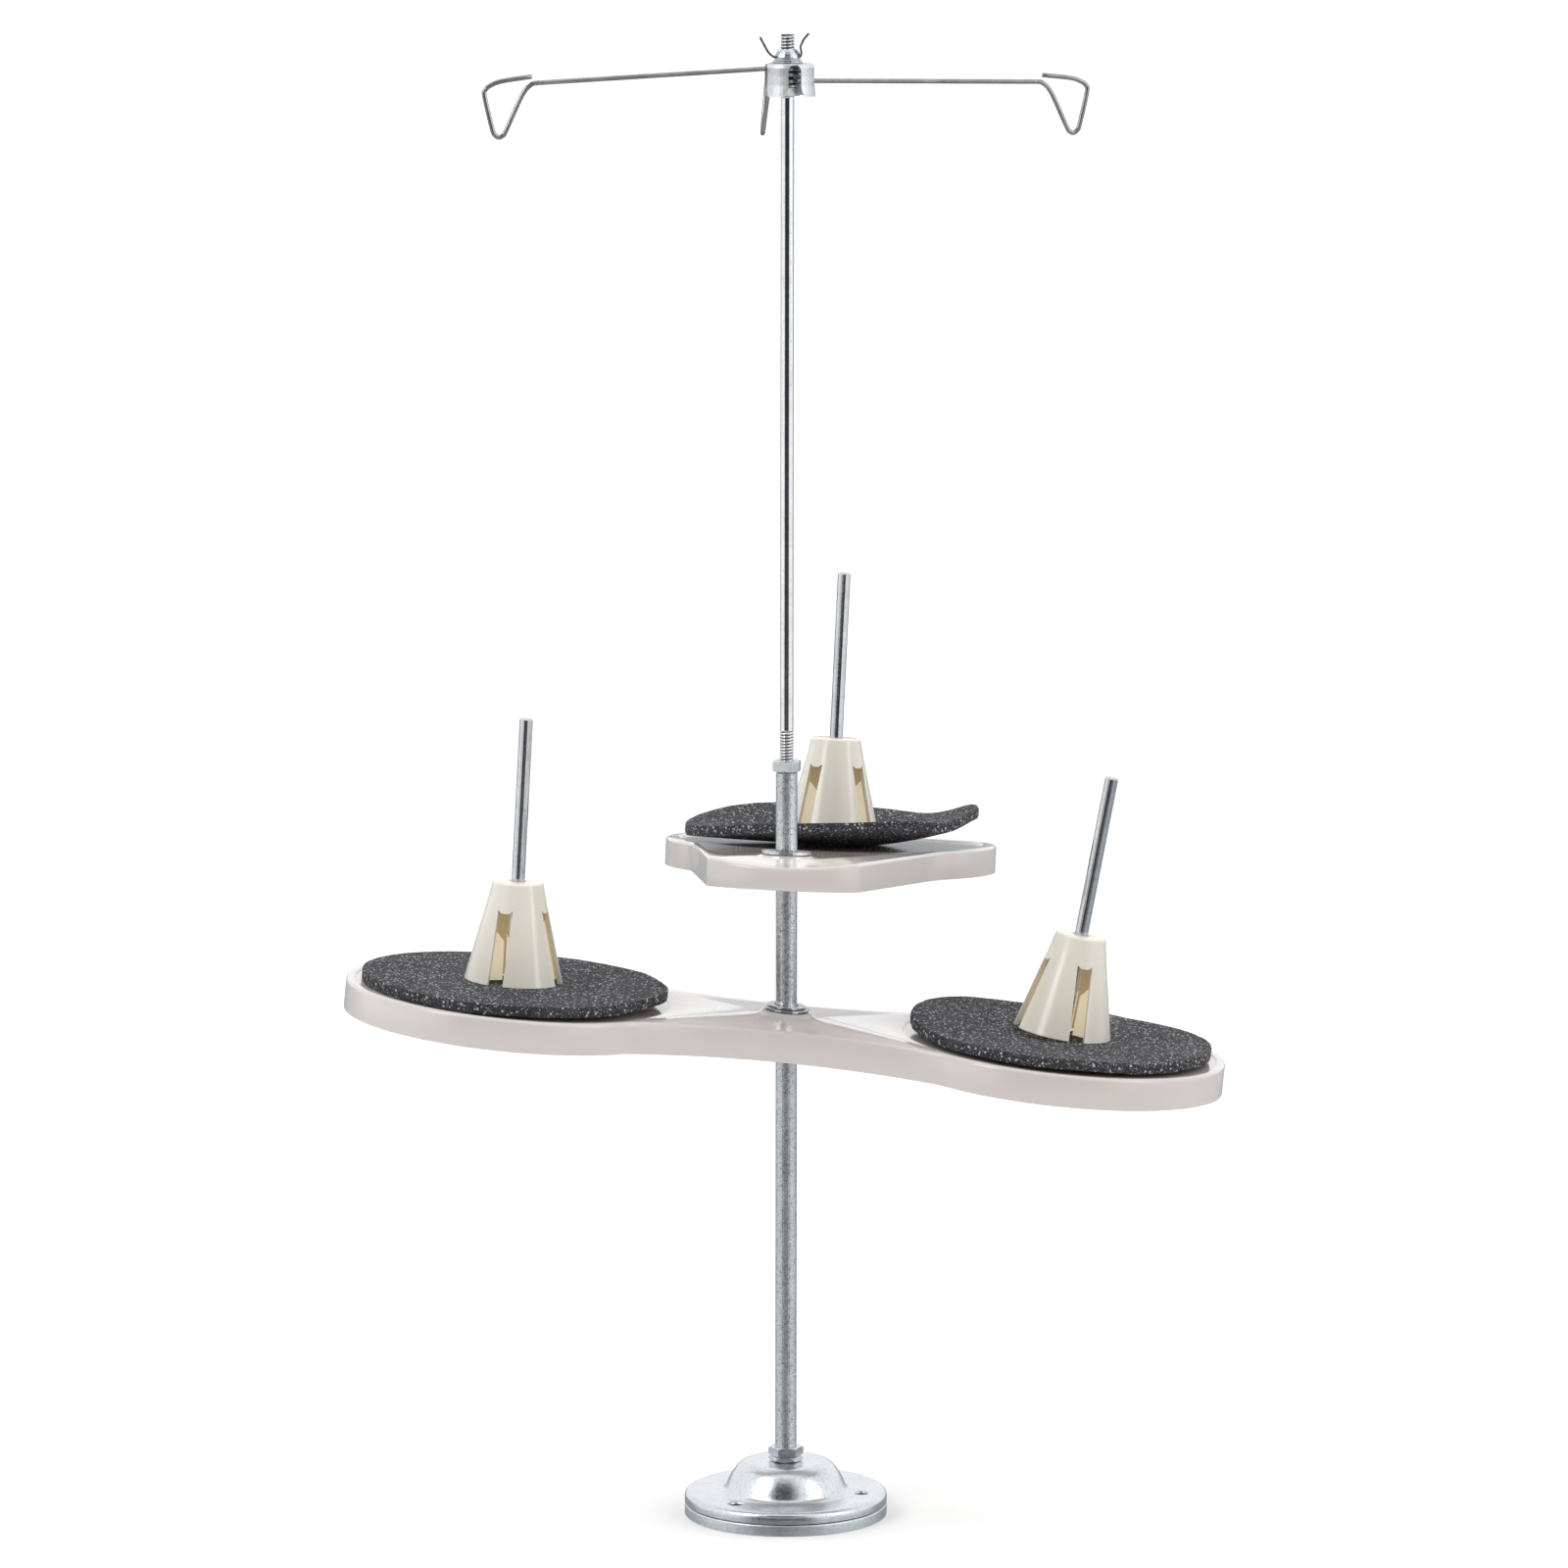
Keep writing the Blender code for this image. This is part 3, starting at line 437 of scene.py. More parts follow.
def upper_rod():
    """The bright rod with real helical threads where it enters the post and through the guide head."""
    sides = 40

    def radius(angle, z, fade):
        phase = (z / PITCH - angle / (2 * math.pi)) % 1.0
        vee = 1 - abs(2 * phase - 1)
        flank = clamped(vee * 1.25 - 0.1)
        return SHANK_R + (THREAD_ROOT_R + (THREAD_CREST_R - THREAD_ROOT_R) * flank - SHANK_R) * fade

    levels = []
    for plain, low, high, run_out in ROD_LENGTHS:
        levels += [(plain, 0.0), (low - LEAD, 0.0)]
        count = round((high - low) / (PITCH / LEVELS_PER_TURN))
        for i in range(count + 1):
            z = low + (high - low) * i / count
            levels.append((z, min(1.0, (z - low) / RUN_IN, (high - z) / run_out if run_out else 1.0)))
    bm = bmesh.new()
    rings = []
    for z, fade in levels:
        rings.append([bm.verts.new(p) for p in turned(sides, lambda a: radius(a, z, fade), z)])
    end = [bm.verts.new(p) for p in turned(sides, lambda a: ROD_END_R, ROD_TOP)]
    rings.append(end)
    for a, b in zip(rings, rings[1:]):
        bridge(bm, a, b)
    bm.faces.new(rings[0])
    bm.faces.new(end)
    rod = make("rod_threaded", bm, BRIGHT, "stand", "upper_rod", 50)
    # painted shade: the thread's root faces get the near-black metal
    rod.data.materials.append(ROOT_SHADE)
    for face in rod.data.polygons:
        if math.hypot(face.center.x, face.center.y) < SHADED_ROOT_R and face.center.z < ROD_TOP - 0.1 * MM:
            face.material_index = 1


# ---------------------------------------------------------------- base flanges and nuts

# a flange's radius, height and sheet, and the gap between the two
FLANGE_R, FLANGE_H, FLANGE_SHEET, FLANGE_GAP = 42.3, 4.6, 1.2, 0.3
FLANGE_BORE_R = 4.9
# the radius that each flange's rim rolls over with
LOWER_EDGE, UPPER_EDGE = 0.9, 2.2
DOME_H = 12.6
# radius and height of the dome above its plate
DOME = (
    (28.2, 0.0), (26.9, 0.35), (25.9, 1.0), (25.2, 2.0), (24.2, 4.1), (23.0, 6.4), (21.6, 8.6),
    (19.8, 10.8), (17.6, 12.15), (15.0, DOME_H), (12.0, DOME_H),
)
SCREW_ANGLES = (-130, -10, 110)
SCREW_CIRCLE_R = 32
# radius and height of a screw hole, drawn in at the top
SCREW_HOLE = ((2.75, -2), (2.75, 3.95), (2.95, 4.3), (3.3, 4.52), (3.9, 4.75), (3.9, 8))


def flange(name, base_z, node_name, edge, look):
    """A pressed flange with a swept-up dome and three screw holes with drawn-in edges."""
    outer = [(FLANGE_R, 0.1), (FLANGE_R, 1.2)]
    outer += [(FLANGE_R - edge * (1 - math.cos(a)), FLANGE_H - edge * (1 - math.sin(a))) for a in QUARTER]
    outer += [(r, FLANGE_H) for r in (36.0, 32.0, 29.5)]
    outer += [(p.x, p.y + FLANGE_H) for p in smooth_path([(r, z, 0) for r, z in DOME], 4)]
    outer.append((FLANGE_BORE_R, FLANGE_H + DOME_H))
    inner = []
    for i, (r, z) in enumerate(outer):
        before, after = Vector(outer[max(i - 1, 0)]), Vector(outer[min(i + 1, len(outer) - 1)])
        along = (after - before).normalized()
        inner.append((r - along.y * FLANGE_SHEET, z + along.x * FLANGE_SHEET))
    bm = bmesh.new()
    profile = [(r, z + base_z) for r, z in [(FLANGE_R - 0.1, 0.0)] + outer + inner[::-1]]
    profile.append((FLANGE_R - FLANGE_SHEET + 0.1, base_z))
    rings = lathe_rings(bm, profile, 180)
    for a, b in zip(rings, rings[1:] + rings[:1]):
        bridge(bm, a, b)
    piece = make(name, bm, look, "stand", node_name, 35)
    for degrees in SCREW_ANGLES:
        angle = math.radians(degrees)
        x, y = SCREW_CIRCLE_R * math.cos(angle), SCREW_CIRCLE_R * math.sin(angle)
        cut(piece, solid_of(SCREW_HOLE, 40, x, y, base_z))
    piece.data.set_sharp_from_angle(angle=math.radians(35))


def nut(name, node_name, across, bore, low, high, degrees, look):
    """A hex nut on the stand, its corners turned off to a cone at both faces, its bore chamfered.

    across is the size across the flats, and low and high are its faces' heights. It is turned by degrees."""
    sides = 120
    half = across / 2
    # how far the cone runs down at the corners
    rise = (2 / math.sqrt(3) - 1) * half / math.sqrt(3) * 1.12
    steps = [i / 5 for i in range(6)]
    levels = [(low + rise * t, rise * t) for t in steps]
    levels += [(high - rise * t, rise * t) for t in steps[::-1]]

    def hexagon(angle, depth):
        """The smaller of the hexagon and the cone, which starts just inside the flats."""
        off = (angle + math.pi / 6) % (math.pi / 3) - math.pi / 6
        return min(half / math.cos(math.pi / 6 - abs(off)) - 0.04, half * 0.985 + depth * math.sqrt(3))

    bm = bmesh.new()
    rings = []
    for z, depth in levels:
        rings.append([bm.verts.new(p) for p in turned(sides, lambda a: hexagon(a, depth) * MM, z * MM)])
    wide = bore + 0.5
    rings += lathe_rings(bm, ((wide, high), (bore, high - 0.5), (bore, low + 0.5), (wide, low)), sides)
    for a, b in zip(rings, rings[1:] + rings[:1]):
        bridge(bm, a, b)
    bmesh.ops.rotate(bm, matrix=Matrix.Rotation(math.radians(degrees), 3, "Z"), verts=bm.verts)
    make(name, bm, look, "stand", node_name, 30)


def base_and_nuts():
    upper = FLANGE_H + FLANGE_GAP
    top = upper + FLANGE_H + DOME_H
    flange("flange_pressed_lower", 0.0, "base_flange_lower", LOWER_EDGE, DULL)
    flange("flange_pressed_upper", upper, "base_flange_upper", UPPER_EDGE, ZINC)
    nut("hex_base_lower", "base_nut_lower", 12.8, 4.6, top + 0.2, top + 2.2, -4, ZINC)
    nut("hex_base_upper", "base_nut_upper", 12.8, 4.6, top + 2.4, top + 6.2, 4, ZINC)
    nut("hex_lock", "column_lock_nut", 11.0, 3.2, 313.5, 317.9, 22, DULL)
    nut("hex_stop", "guide_stop_nut", 10.0, 3.2, 591.2, 594.6, 20, ZINC)


# ---------------------------------------------------------------- wire thread guides

# direction of the arm in degrees, height at the post, slope, distance to the eyelet, eyelet's sideways lean
GUIDES = {
    "left": (194.0, 602.2, -0.049, 104.2, 0.0),
    "rear": (94.0, 599.9, -0.093, 107.0, 5.5),
    "right": (17.0, 597.1, -0.018, 107.4, 0.0),
}
# the eyelet's bends: distance beyond reach and height
EYELET = (
    (0.0, 0.0), (2.6, -0.7), (6.2, -4.7), (12.8, -18.3), (14.2, -20.3), (15.9, -20.9), (17.5, -19.7),
    (18.5, -17.3), (21.6, -3.9), (21.2, -1.5), (19.2, 0.1), (14.4, 1.6), (2.4, 2.7),
)
# the wire, its ring round the post, and the bends that lead from the ring into the arm
WIRE_R, WIRE_RING_R = 1.0, 4.6
LEAD_OUT = ((5.2, -1.9), (6.9, -0.7), (8.4, -0.1), (10.5, 0.0))
# where the arm starts to slope
SLOPE_START = 10


def thread_guides():
    """The bent wires, drawn as smooth curves through the bends that the CAD wires have."""
    for name, (degrees, height, slope, reach, lean) in GUIDES.items():
        turn = Matrix.Translation((0, 0, height * MM)) @ Matrix.Rotation(math.radians(degrees), 4, "Z")
        angles = [math.radians(45 + 19.5 * i) for i in range(15)]
        points = [(WIRE_RING_R * math.cos(a), WIRE_RING_R * math.sin(a), 0.0) for a in angles]
        points += [(x, y, 0.0) for x, y in LEAD_OUT]
        points += [(x, 0.0, slope * (x - SLOPE_START)) for x in (14.0, 40.0, 70.0, reach - 4)]
        for x, z in EYELET:
            sideways = -z * math.sin(math.radians(lean))
            points.append((reach + x, sideways, slope * (reach + x - SLOPE_START) + z))
        path = [turn @ (p * MM) for p in smooth_path(points, 5)]
        wire = tube(path, WIRE_R * MM, 14)
        make("guide_wire_" + name, wire, WIRE, "guide_" + name, "thread_guide_" + name, 60)


# ---------------------------------------------------------------- trays

LOBE_R = {"lower": 69.0, "upper": 70.8}
SKIRT = {"lower": 13.2, "upper": 12.0}
HUB_UP = {"lower": 3.0, "upper": 0.8}
# the lower neck: half its width at the post, its sides' curve, where they join the lobe, their fillets
WAIST, NECK_CURVE_R, LOWER_JOIN, NECK_FILLET_R = 33.0, 147.0, 43.8, 12.0
# the upper tray's hub end: its bow, then each corner's x and radius, left and right
FRONT_R, FRONT_Y = 58.0, -27.5
FRONT_CORNERS = ((-28.4, 3.4), (33.5, 14.0))
# where the upper neck's sides aim for on the lobe, in degrees round from the point nearest the hub, and
# their fillets, left and right
NECK_AIM, NECK_FILLETS = 47.3, (24.0, 48.0)
# the upper tray's warp: the dip of its front edge, the middle and half-width of that dip, and the rise of
# the lobe's right side
FRONT_DROP, DIP_X, DIP_HALF, SIDE_RISE = 2.4, 4, 33, 1.8
TRAY_WALL, TRAY_TOP, TRAY_EDGE_R = 2.0, 2.2, 1.6
RECESS_R, RECESS_DEPTH, PIN_HOLE_R = 65.0, 0.7, 3.4
HUB_R, HUB_DOWN, HUB_BORE_R = 9.6, 6.5, 5.5
# distance out from the hub, and height as a share of the hub's
HUB_SWEEP = ((6, 0.02), (4.2, 0.13), (2.6, 0.36), (1.5, 0.7), (0.8, 0.93), (0.1, 1.0))


def arc(centre, radius, start, end, count):
    """Points on a circle, from start to end in degrees."""
    angles = [math.radians(start + (end - start) * i / (count - 1)) for i in range(count)]
    return [(centre[0] + radius * math.cos(a), centre[1] + radius * math.sin(a)) for a in angles]


def rounded(points, corners, count=9):
    """The outline with each corner, given as {index: radius}, replaced by an arc."""
    found = []
    for i, point in enumerate(points):
        if i not in corners:
            found.append(point)
            continue
        corner = Vector(point)
        u = (Vector(points[i - 1]) - corner).normalized()
        v = (Vector(points[(i + 1) % len(points)]) - corner).normalized()
        half = u.angle(v) / 2
        centre = corner + (u + v).normalized() * (corners[i] / math.sin(half))
        first = corner + u * (corners[i] / math.tan(half)) - centre
        last = corner + v * (corners[i] / math.tan(half)) - centre
        start = math.atan2(first.y, first.x)
        turn = (math.atan2(last.y, last.x) - start + math.pi) % (2 * math.pi) - math.pi
        found += arc(centre, corners[i], math.degrees(start), math.degrees(start + turn), count)
    return found


def offset(outline, distance):
    """The outline, which runs anticlockwise, moved inwards."""
    moved = []
    for i, point in enumerate(outline):
        before = (Vector(point) - Vector(outline[i - 1])).normalized()
        after = (Vector(outline[(i + 1) % len(outline)]) - Vector(point)).normalized()
        inward = Vector((-before.y - after.y, before.x + after.x)).normalized()
        reach = distance / math.cos(before.angle(after) / 2)
        moved.append((point[0] + inward.x * reach, point[1] + inward.y * reach))
    return moved


def lower_outline():
    """A dog-bone, both necks waisted at the post."""
    neck = []
    for i in range(-12, 13):
        along = i * 4.5
        neck.append((along, WAIST + NECK_CURVE_R - math.sqrt(NECK_CURVE_R**2 - along**2)))
    right = arc((ARM / MM, 0), LOBE_R["lower"], LOWER_JOIN - 180, 180 - LOWER_JOIN, 91)
    left = [(-x, -y) for x, y in right]
    points = [(x, -y) for x, y in neck] + right + neck[::-1] + left
    first, last, half = len(neck), len(neck) + len(right) - 1, len(points) // 2
    return rounded(points, {i: NECK_FILLET_R for i in (first, last, first + half, last + half)})


def flared(corner, fillet):
    """The fillet between the upper neck's straight side, which starts at corner, and the lobe."""
    centre = Vector((0, ARM / MM))
    radius = LOBE_R["upper"]
    aim = math.radians(90 - NECK_AIM)
    side = 1 if corner[0] > 0 else -1
    start = Vector(corner)
    along = (centre + Vector((side * math.cos(aim), -math.sin(aim))) * radius - start).normalized()
    outward = Vector((along.y, -along.x)) * side
    from_lobe = start + outward * fillet - centre
    half = from_lobe.dot(along)
    reach = -half - math.sqrt(half * half - from_lobe.length_squared + (radius + fillet) ** 2)
    middle = start + along * reach + outward * fillet
    first = start + along * reach - middle
    last = centre + (middle - centre) * (radius / (radius + fillet)) - middle
    turn = first.angle_signed(last)
    begin = math.atan2(first.y, first.x)
    return arc(middle, fillet, math.degrees(begin), math.degrees(begin - turn), 15)


def upper_outline():
    """One lobe at the back, flared neck sides, and a bowed hub end with one tight and one soft corner."""
    (left, left_r), (right, right_r) = FRONT_CORNERS
    chord = math.degrees(math.asin((right - left) / 2 / FRONT_R))
    centre = ((left + right) / 2, FRONT_Y + FRONT_R * math.cos(math.radians(chord)))
    bow = arc(centre, FRONT_R, -90 - chord, -90 + chord, 13)
    # the soft corner's arc takes the room of the bow's last points
    front = bow[:-3] + bow[-1:]
    right_side = flared((right, FRONT_Y), NECK_FILLETS[1])
    left_side = flared((left, FRONT_Y), NECK_FILLETS[0])
    lobe = (0, ARM / MM)
    begin = math.degrees(math.atan2(right_side[-1][1] - lobe[1], right_side[-1][0] - lobe[0]))
    end = math.degrees(math.atan2(left_side[-1][1] - lobe[1], left_side[-1][0] - lobe[0]))
    rim = arc(lobe, LOBE_R["upper"], begin, end % 360, 91)[1:-1]
    points = front + right_side + rim + left_side[::-1]
    return rounded(points, {0: left_r, len(front) - 1: right_r})


def tray(kind, outline, lobes, place):
    """A moulded shell: a skirt with a rolled edge, a step round each recess, a hub swept up at the post."""
    skirt, up = SKIRT[kind], HUB_UP[kind]
    # inset and height of each ring of the outside
    levels = [(0.5, -skirt), (0.15, -skirt + 0.15), (0.0, -skirt + 0.5)]
    levels += [(TRAY_EDGE_R * (1 - math.cos(a)), TRAY_EDGE_R * (math.sin(a) - 1)) for a in QUARTER]
    bm = bmesh.new()
    rings = []
    for inset, z in levels:
        rings.append([bm.verts.new(Vector((x, y, z)) * MM) for x, y in offset(outline, inset)])
    for a, b in zip(rings, rings[1:]):
        bridge(bm, a, b)
    bm.faces.new(rings[0])
    bm.faces.new(rings[-1])
    piece = make("shell_" + kind, bm, TRAY, kind + "_tray", "tray_" + kind, 35)
    cut(piece, prism(offset(outline, TRAY_WALL), -skirt - 5, -TRAY_TOP, Matrix.Identity(4)))
    hub = [(HUB_R, -HUB_DOWN), (HUB_R, -TRAY_TOP - 2), (HUB_R + 2, -TRAY_TOP + 0.5), (HUB_R + 8, -0.6)]
    hub += [(HUB_R + out, share * up) for out, share in HUB_SWEEP]
    cut(piece, solid_of(hub, 96), "UNION")
    recess = [(RECESS_R, -RECESS_DEPTH), (RECESS_R + 0.2, -0.5), (RECESS_R + 0.55, -0.12)]
    recess += [(RECESS_R + 1.0, 0.02), (RECESS_R + 1.0, 3)]
    for x, y in lobes:
        cut(piece, solid_of(recess, 180, x, y))
        cut(piece, solid_of([(PIN_HOLE_R, -9), (PIN_HOLE_R, 9)], 40, x, y))
    cut(piece, solid_of([(HUB_BORE_R, -12), (HUB_BORE_R, 12)], 60))
    if kind == "upper":
        for vertex in piece.data.vertices:
            x, y, z = vertex.co / MM
            forward = clamped((-y - 10) / 22)
            middle = max(0.0, 1 - ((x - DIP_X) / DIP_HALF) ** 2)
            vertex.co.z -= FRONT_DROP * MM * middle * forward**1.5 * clamped((z + skirt) / skirt)
            vertex.co.z += SIDE_RISE * MM * max(0.0, (x - 20) / 50) ** 1.5 * clamped((y - 10) / 60)
    piece.data.transform(place)
    piece.data.set_sharp_from_angle(angle=math.radians(32))


def trays():
    reach = ARM / MM
    tray("lower", lower_outline(), ((-reach, 0), (reach, 0)), LOWER)
    tray("upper", upper_outline(), ((0, reach),), UPPER)


# ---------------------------------------------------------------- cone adapters

# lean to the right and to the back in degrees, angle of the first slot, height of the foot in mm
SPOOLS = {
    "left": (3.1, 0.0, -110.0, 4.0),
    "right": (10.5, 0.0, -75.0, 5.2),
    "rear": (2.7, 4.6, -40.0, 3.0),
}
CONE_R, CONE_TOP_R, CONE_H, CONE_WALL, CONE_CAP = 20.5, 10.6, 42.0, 1.8, 2.4
SHOULDER_R = 1.1
# a slot's height, half its width at the foot and at the top, and the notch between its two hooks
SLOT_H, SLOT_HALF_LOW, SLOT_HALF_HIGH, NOTCH_HALF, NOTCH_DROP = 31.0, 3.4, 3.2, 1.5, 1.2
# half the thickness of a rib and a web, and the radius where they start
RIB_HALF, WEB_HALF, RIB_IN, WEB_IN = 0.8, 0.3, 5.2, 3.9
# the rib's height at the wall and at the middle, as shares of the cone's
RIB_RISE, RIB_DIP = 0.62, 0.4
# turns a prism's outline upright, so that it is pushed through along X
UPRIGHT = Matrix(((0, 0, 1, 0), (1, 0, 0, 0), (0, 1, 0, 0), (0, 0, 0, 1)))
ON_EDGE = Matrix.Rotation(math.radians(90), 4, "X")


def cone(name, place, first_slot, foot):
    """A hollow moulded cone on four legs. The slots end in small hooks, and inside, behind each leg, are a
    rib and a thin full-height web."""
    slope = (CONE_R - CONE_TOP_R) / (CONE_H - 2)
    top = foot + CONE_H
    profile = [(CONE_R - 0.25, foot), (CONE_R, foot + 0.3)]
    profile += [(CONE_R - slope * h, foot + h) for h in (8, 16, 24, 32)]
    for a in QUARTER:
        out, up = SHOULDER_R * math.cos(a), SHOULDER_R * math.sin(a)
        profile.append((CONE_TOP_R - SHOULDER_R + out, top - SHOULDER_R + up))
    # the hole for the pin, a little wider at both ends
    profile += [(4.0, top), (3.3, top - 0.5), (3.15, top - CONE_CAP + 0.3), (3.4, top - CONE_CAP)]
    profile += [(CONE_TOP_R - CONE_WALL + slope * CONE_CAP, top - CONE_CAP)]
    profile += [(CONE_R - CONE_WALL - slope * h, foot + h) for h in (24, 12, 0.3)]
    profile += [(CONE_R - CONE_WALL + 0.25, foot)]
    bm = bmesh.new()
    rings = lathe_rings(bm, profile, 144)
    for a, b in zip(rings, rings[1:] + rings[:1]):
        bridge(bm, a, b)
    piece = make("adapter_" + name, bm, IVORY, "cone_" + name, "spool_cone_" + name, 30)
    high = foot + SLOT_H
    slot = [(-SLOT_HALF_LOW, foot - 2), (SLOT_HALF_LOW, foot - 2), (SLOT_HALF_HIGH, high)]
    slot += [(NOTCH_HALF, high - NOTCH_DROP), (-NOTCH_HALF, high - NOTCH_DROP), (-SLOT_HALF_HIGH, high)]
    slots = [Matrix.Rotation(math.radians(first_slot + 90 * i), 4, "Z") for i in range(4)]
    legs = [Matrix.Rotation(math.radians(first_slot + 45 + 90 * i), 4, "Z") for i in range(4)]
    for turn in slots:
        cut(piece, prism(slot, 5.5, 26, turn @ UPRIGHT))
    middle = CONE_R - CONE_WALL / 2
    rise = RIB_RISE * CONE_H
    cap = top - CONE_CAP + 0.5
    rib = [(RIB_IN, foot + 0.3), (middle, foot + 0.3), (middle - slope * rise, foot + rise)]
    rib.append((RIB_IN, foot + RIB_DIP * CONE_H))
    web = [(WEB_IN, foot + 3), (middle, foot + 3), (middle - slope * (cap - foot), cap), (WEB_IN, cap)]
    for outline, half in ((rib, RIB_HALF), (web, WEB_HALF)):
        for turn in legs:
            cut(piece, prism(outline, -half, half, turn @ ON_EDGE), "UNION")
    piece.data.materials.clear()
    for look in (IVORY, INSIDE_GLOW, RIB_GLOW):
        piece.data.materials.append(look)
    # painted light: inner faces take the glowing copy of the plastic, and the ribs' sides the brighter
    # glowing one
    for face in piece.data.polygons:
        out = math.hypot(face.center.x, face.center.y)
        shell = (CONE_R - CONE_WALL * 0.6 - slope * (face.center.z / MM - foot)) * MM
        if 3.3 * MM < out < shell and face.center.z < cap * MM:
            around = math.degrees(math.atan2(face.center.y, face.center.x)) - first_slot
            off_plane = out * math.sin(math.radians(abs(around % 90 - 45)))
            on_side = RIB_HALF - 0.2 < off_plane / MM < RIB_HALF + 0.1
            face.material_index = 2 if on_side and face.center.z < (foot + rise) * MM else 1
    piece.data.transform(place)
    piece.data.set_sharp_from_angle(angle=math.radians(30))


def cones():
    seats = {"left": (LOWER, (-ARM, 0)), "right": (LOWER, (ARM, 0)), "rear": (UPPER, (0, ARM))}
    for name, (right, back, first_slot, foot) in SPOOLS.items():
        tray, (x, y) = seats[name]
        lean = Matrix.Rotation(math.radians(right), 4, "Y") @ Matrix.Rotation(math.radians(-back), 4, "X")
        cone(name, Matrix.Translation(tray @ Vector((x, y, 0))) @ lean, first_slot, foot)


# ---------------------------------------------------------------- foam pads

PAD_R, PAD_HOLE_R, PAD_THICK, PAD_SUNK = 62.8 * MM, 3.6 * MM, 4.3 * MM, 0.45 * MM
# how far the cut edge wavers and frays, and how rough the faces are
WAVER, FRAY, ROUGH = 0.35 * MM, 0.18 * MM, 0.09 * MM
# the rear pad lies flat within this radius, under the cone
DISH_FLAT_R = 18
# what its rim has beside its smooth curl: direction and width in degrees, height in mm
REAR_KINKS = ((-30, 15, -3.2), (28, 14, 1.6), (58, 14, -1.5))


def beyond(x, y, way, start, span):
    """How far x, y lies past start in the direction way, counted in spans."""
    return max(0.0, way[0] * x + way[1] * y - start) / span


def foam_pad(name, place, lift, body, node_name, seed, corner=None):
    """A foam disc with a ragged cut edge, bent by lift(x, y), in mm from the lobe's middle.

    corner is the direction in degrees of a place where the disc was cut too straight."""
    around, rings_out = 168, 26
    bm = bmesh.new()
    layers = []
    # share of the way out, and side: 1 is the top and -1 the underside
    profile = [(i / rings_out, 1) for i in range(rings_out + 1)]
    profile += [(1.0, 0.6), (1.0, 0.2), (1.0, -0.2), (1.0, -0.6)]
    profile += [(i / rings_out, -1) for i in range(rings_out, -1, -1)]
    for share, side in profile:
        ring = []
        for k in range(around):
            angle = 2 * math.pi * k / around
            c, s = math.cos(angle), math.sin(angle)
            edge = WAVER * noise.noise((c * 7, s * 7, seed))
            edge += FRAY * noise.noise((c * 31, s * 31, side * 2 + seed))
            if corner is not None:
                off = abs((math.degrees(angle) - corner + 180) % 360 - 180)
                edge += (2.0 * max(0.0, 1 - off / 16) - 0.8 * max(0.0, 1 - abs(off - 24) / 14)) * MM
            radius = PAD_HOLE_R + (PAD_R + edge * share - PAD_HOLE_R) * share
            if share == 1.0 and abs(side) == 1:
                radius -= 0.25 * MM
            x, y = radius * c, radius * s
            rough = ROUGH * noise.noise((x * 700, y * 700, side + seed))
            z = (0.5 + 0.5 * side) * PAD_THICK + rough + lift(x / MM, y / MM) * MM
            ring.append(bm.verts.new(place @ Vector((x, y, z - PAD_SUNK))))
        layers.append(ring)
    for a, b in zip(layers, layers[1:]):
        bridge(bm, a, b)
    bridge(bm, layers[-1], layers[0])
    pad = make(name, bm, FOAM, body, node_name, 60)


def pads():
    left = LOWER @ Matrix.Translation((-ARM, 0, 0))
    right = LOWER @ Matrix.Translation((ARM, 0, 0))
    rear = UPPER @ Matrix.Translation((0, ARM, 0))

    def lift_left(x, y):
        tip = beyond(x, y, (1, 0), 36, 27)
        back_left = beyond(x, y, (-0.7, 0.7), 25, 38)
        return 0.2 + 0.03 * max(0.0, x + 20) + 1.2 * tip**1.5 - 0.15 * math.cos(y / 30) - 0.3 * back_left

    def lift_right(x, y):
        tip = beyond(x, y, (1, 0), 30, 33)
        back_left = beyond(x, y, (-0.7, 0.7), 20, 43)
        curl = beyond(x, y, (-0.94, 0.34), 28, 35)
        wave = 0.5 * math.sin(x / 17 + 1.0) ** 2
        return 0.3 + wave + 0.02 * max(0.0, -y - 10) + 1.2 * back_left + 1.0 * tip + 2.8 * curl**1.3

    def lift_rear(x, y):
        """A dish: pinned down by the cone's foot, its rim curled up, most on the right."""
        angle = math.atan2(y, x)
        rim = 8.3 + 4.3 * math.cos(angle) + 1.35 * math.sin(angle) - 1.36 * math.sin(2 * angle)
        rim += 1.15 * math.cos(3 * angle) + 0.55 * math.sin(3 * angle)
        for middle, width, amount in REAR_KINKS:
            rim += amount * math.exp(-(((math.degrees(angle) - middle) / width) ** 2))
        out = max(0.0, math.hypot(x, y) - DISH_FLAT_R) / (PAD_R / MM - DISH_FLAT_R)
        return 0.3 + (rim - 0.3) * out**1.4

    foam_pad("foam_disc_left", left, lift_left, "lower_tray", "foam_pad_left", 1.3, -8)
    foam_pad("foam_disc_right", right, lift_right, "lower_tray", "foam_pad_right", 5.1)
    foam_pad("foam_disc_rear", rear, lift_rear, "upper_tray", "foam_pad_rear", 9.7)


# ---------------------------------------------------------------- studio

FLOOR_R, FLOOR_DROP, FLOOR_GLOW = 2.4, 0.2 * MM, 0.1
SKY_STRENGTH = 1.15
# where each lamp stands, its width and height in metres, its watts, and whether reflections see it
LAMPS = {
    "key": ((-1.6, -1.2, 1.7), (0.7, 1.3), 12, True),
    "fill": ((1.8, -0.9, 1.1), (0.5, 1.5), 6, True),
    "top": ((0.0, 0.2, 2.4), (1.4, 1.4), 14, False),
}
LAMP_TARGET = (0, 0, 0.3)
CAMERA_AT, CAMERA_TARGET = (0.0, -3.0, 0.757), (-0.0011, 0, 0.308)
# roll in degrees, focal length in mm
CAMERA_ROLL, CAMERA_LENS = 0.07, 168.8


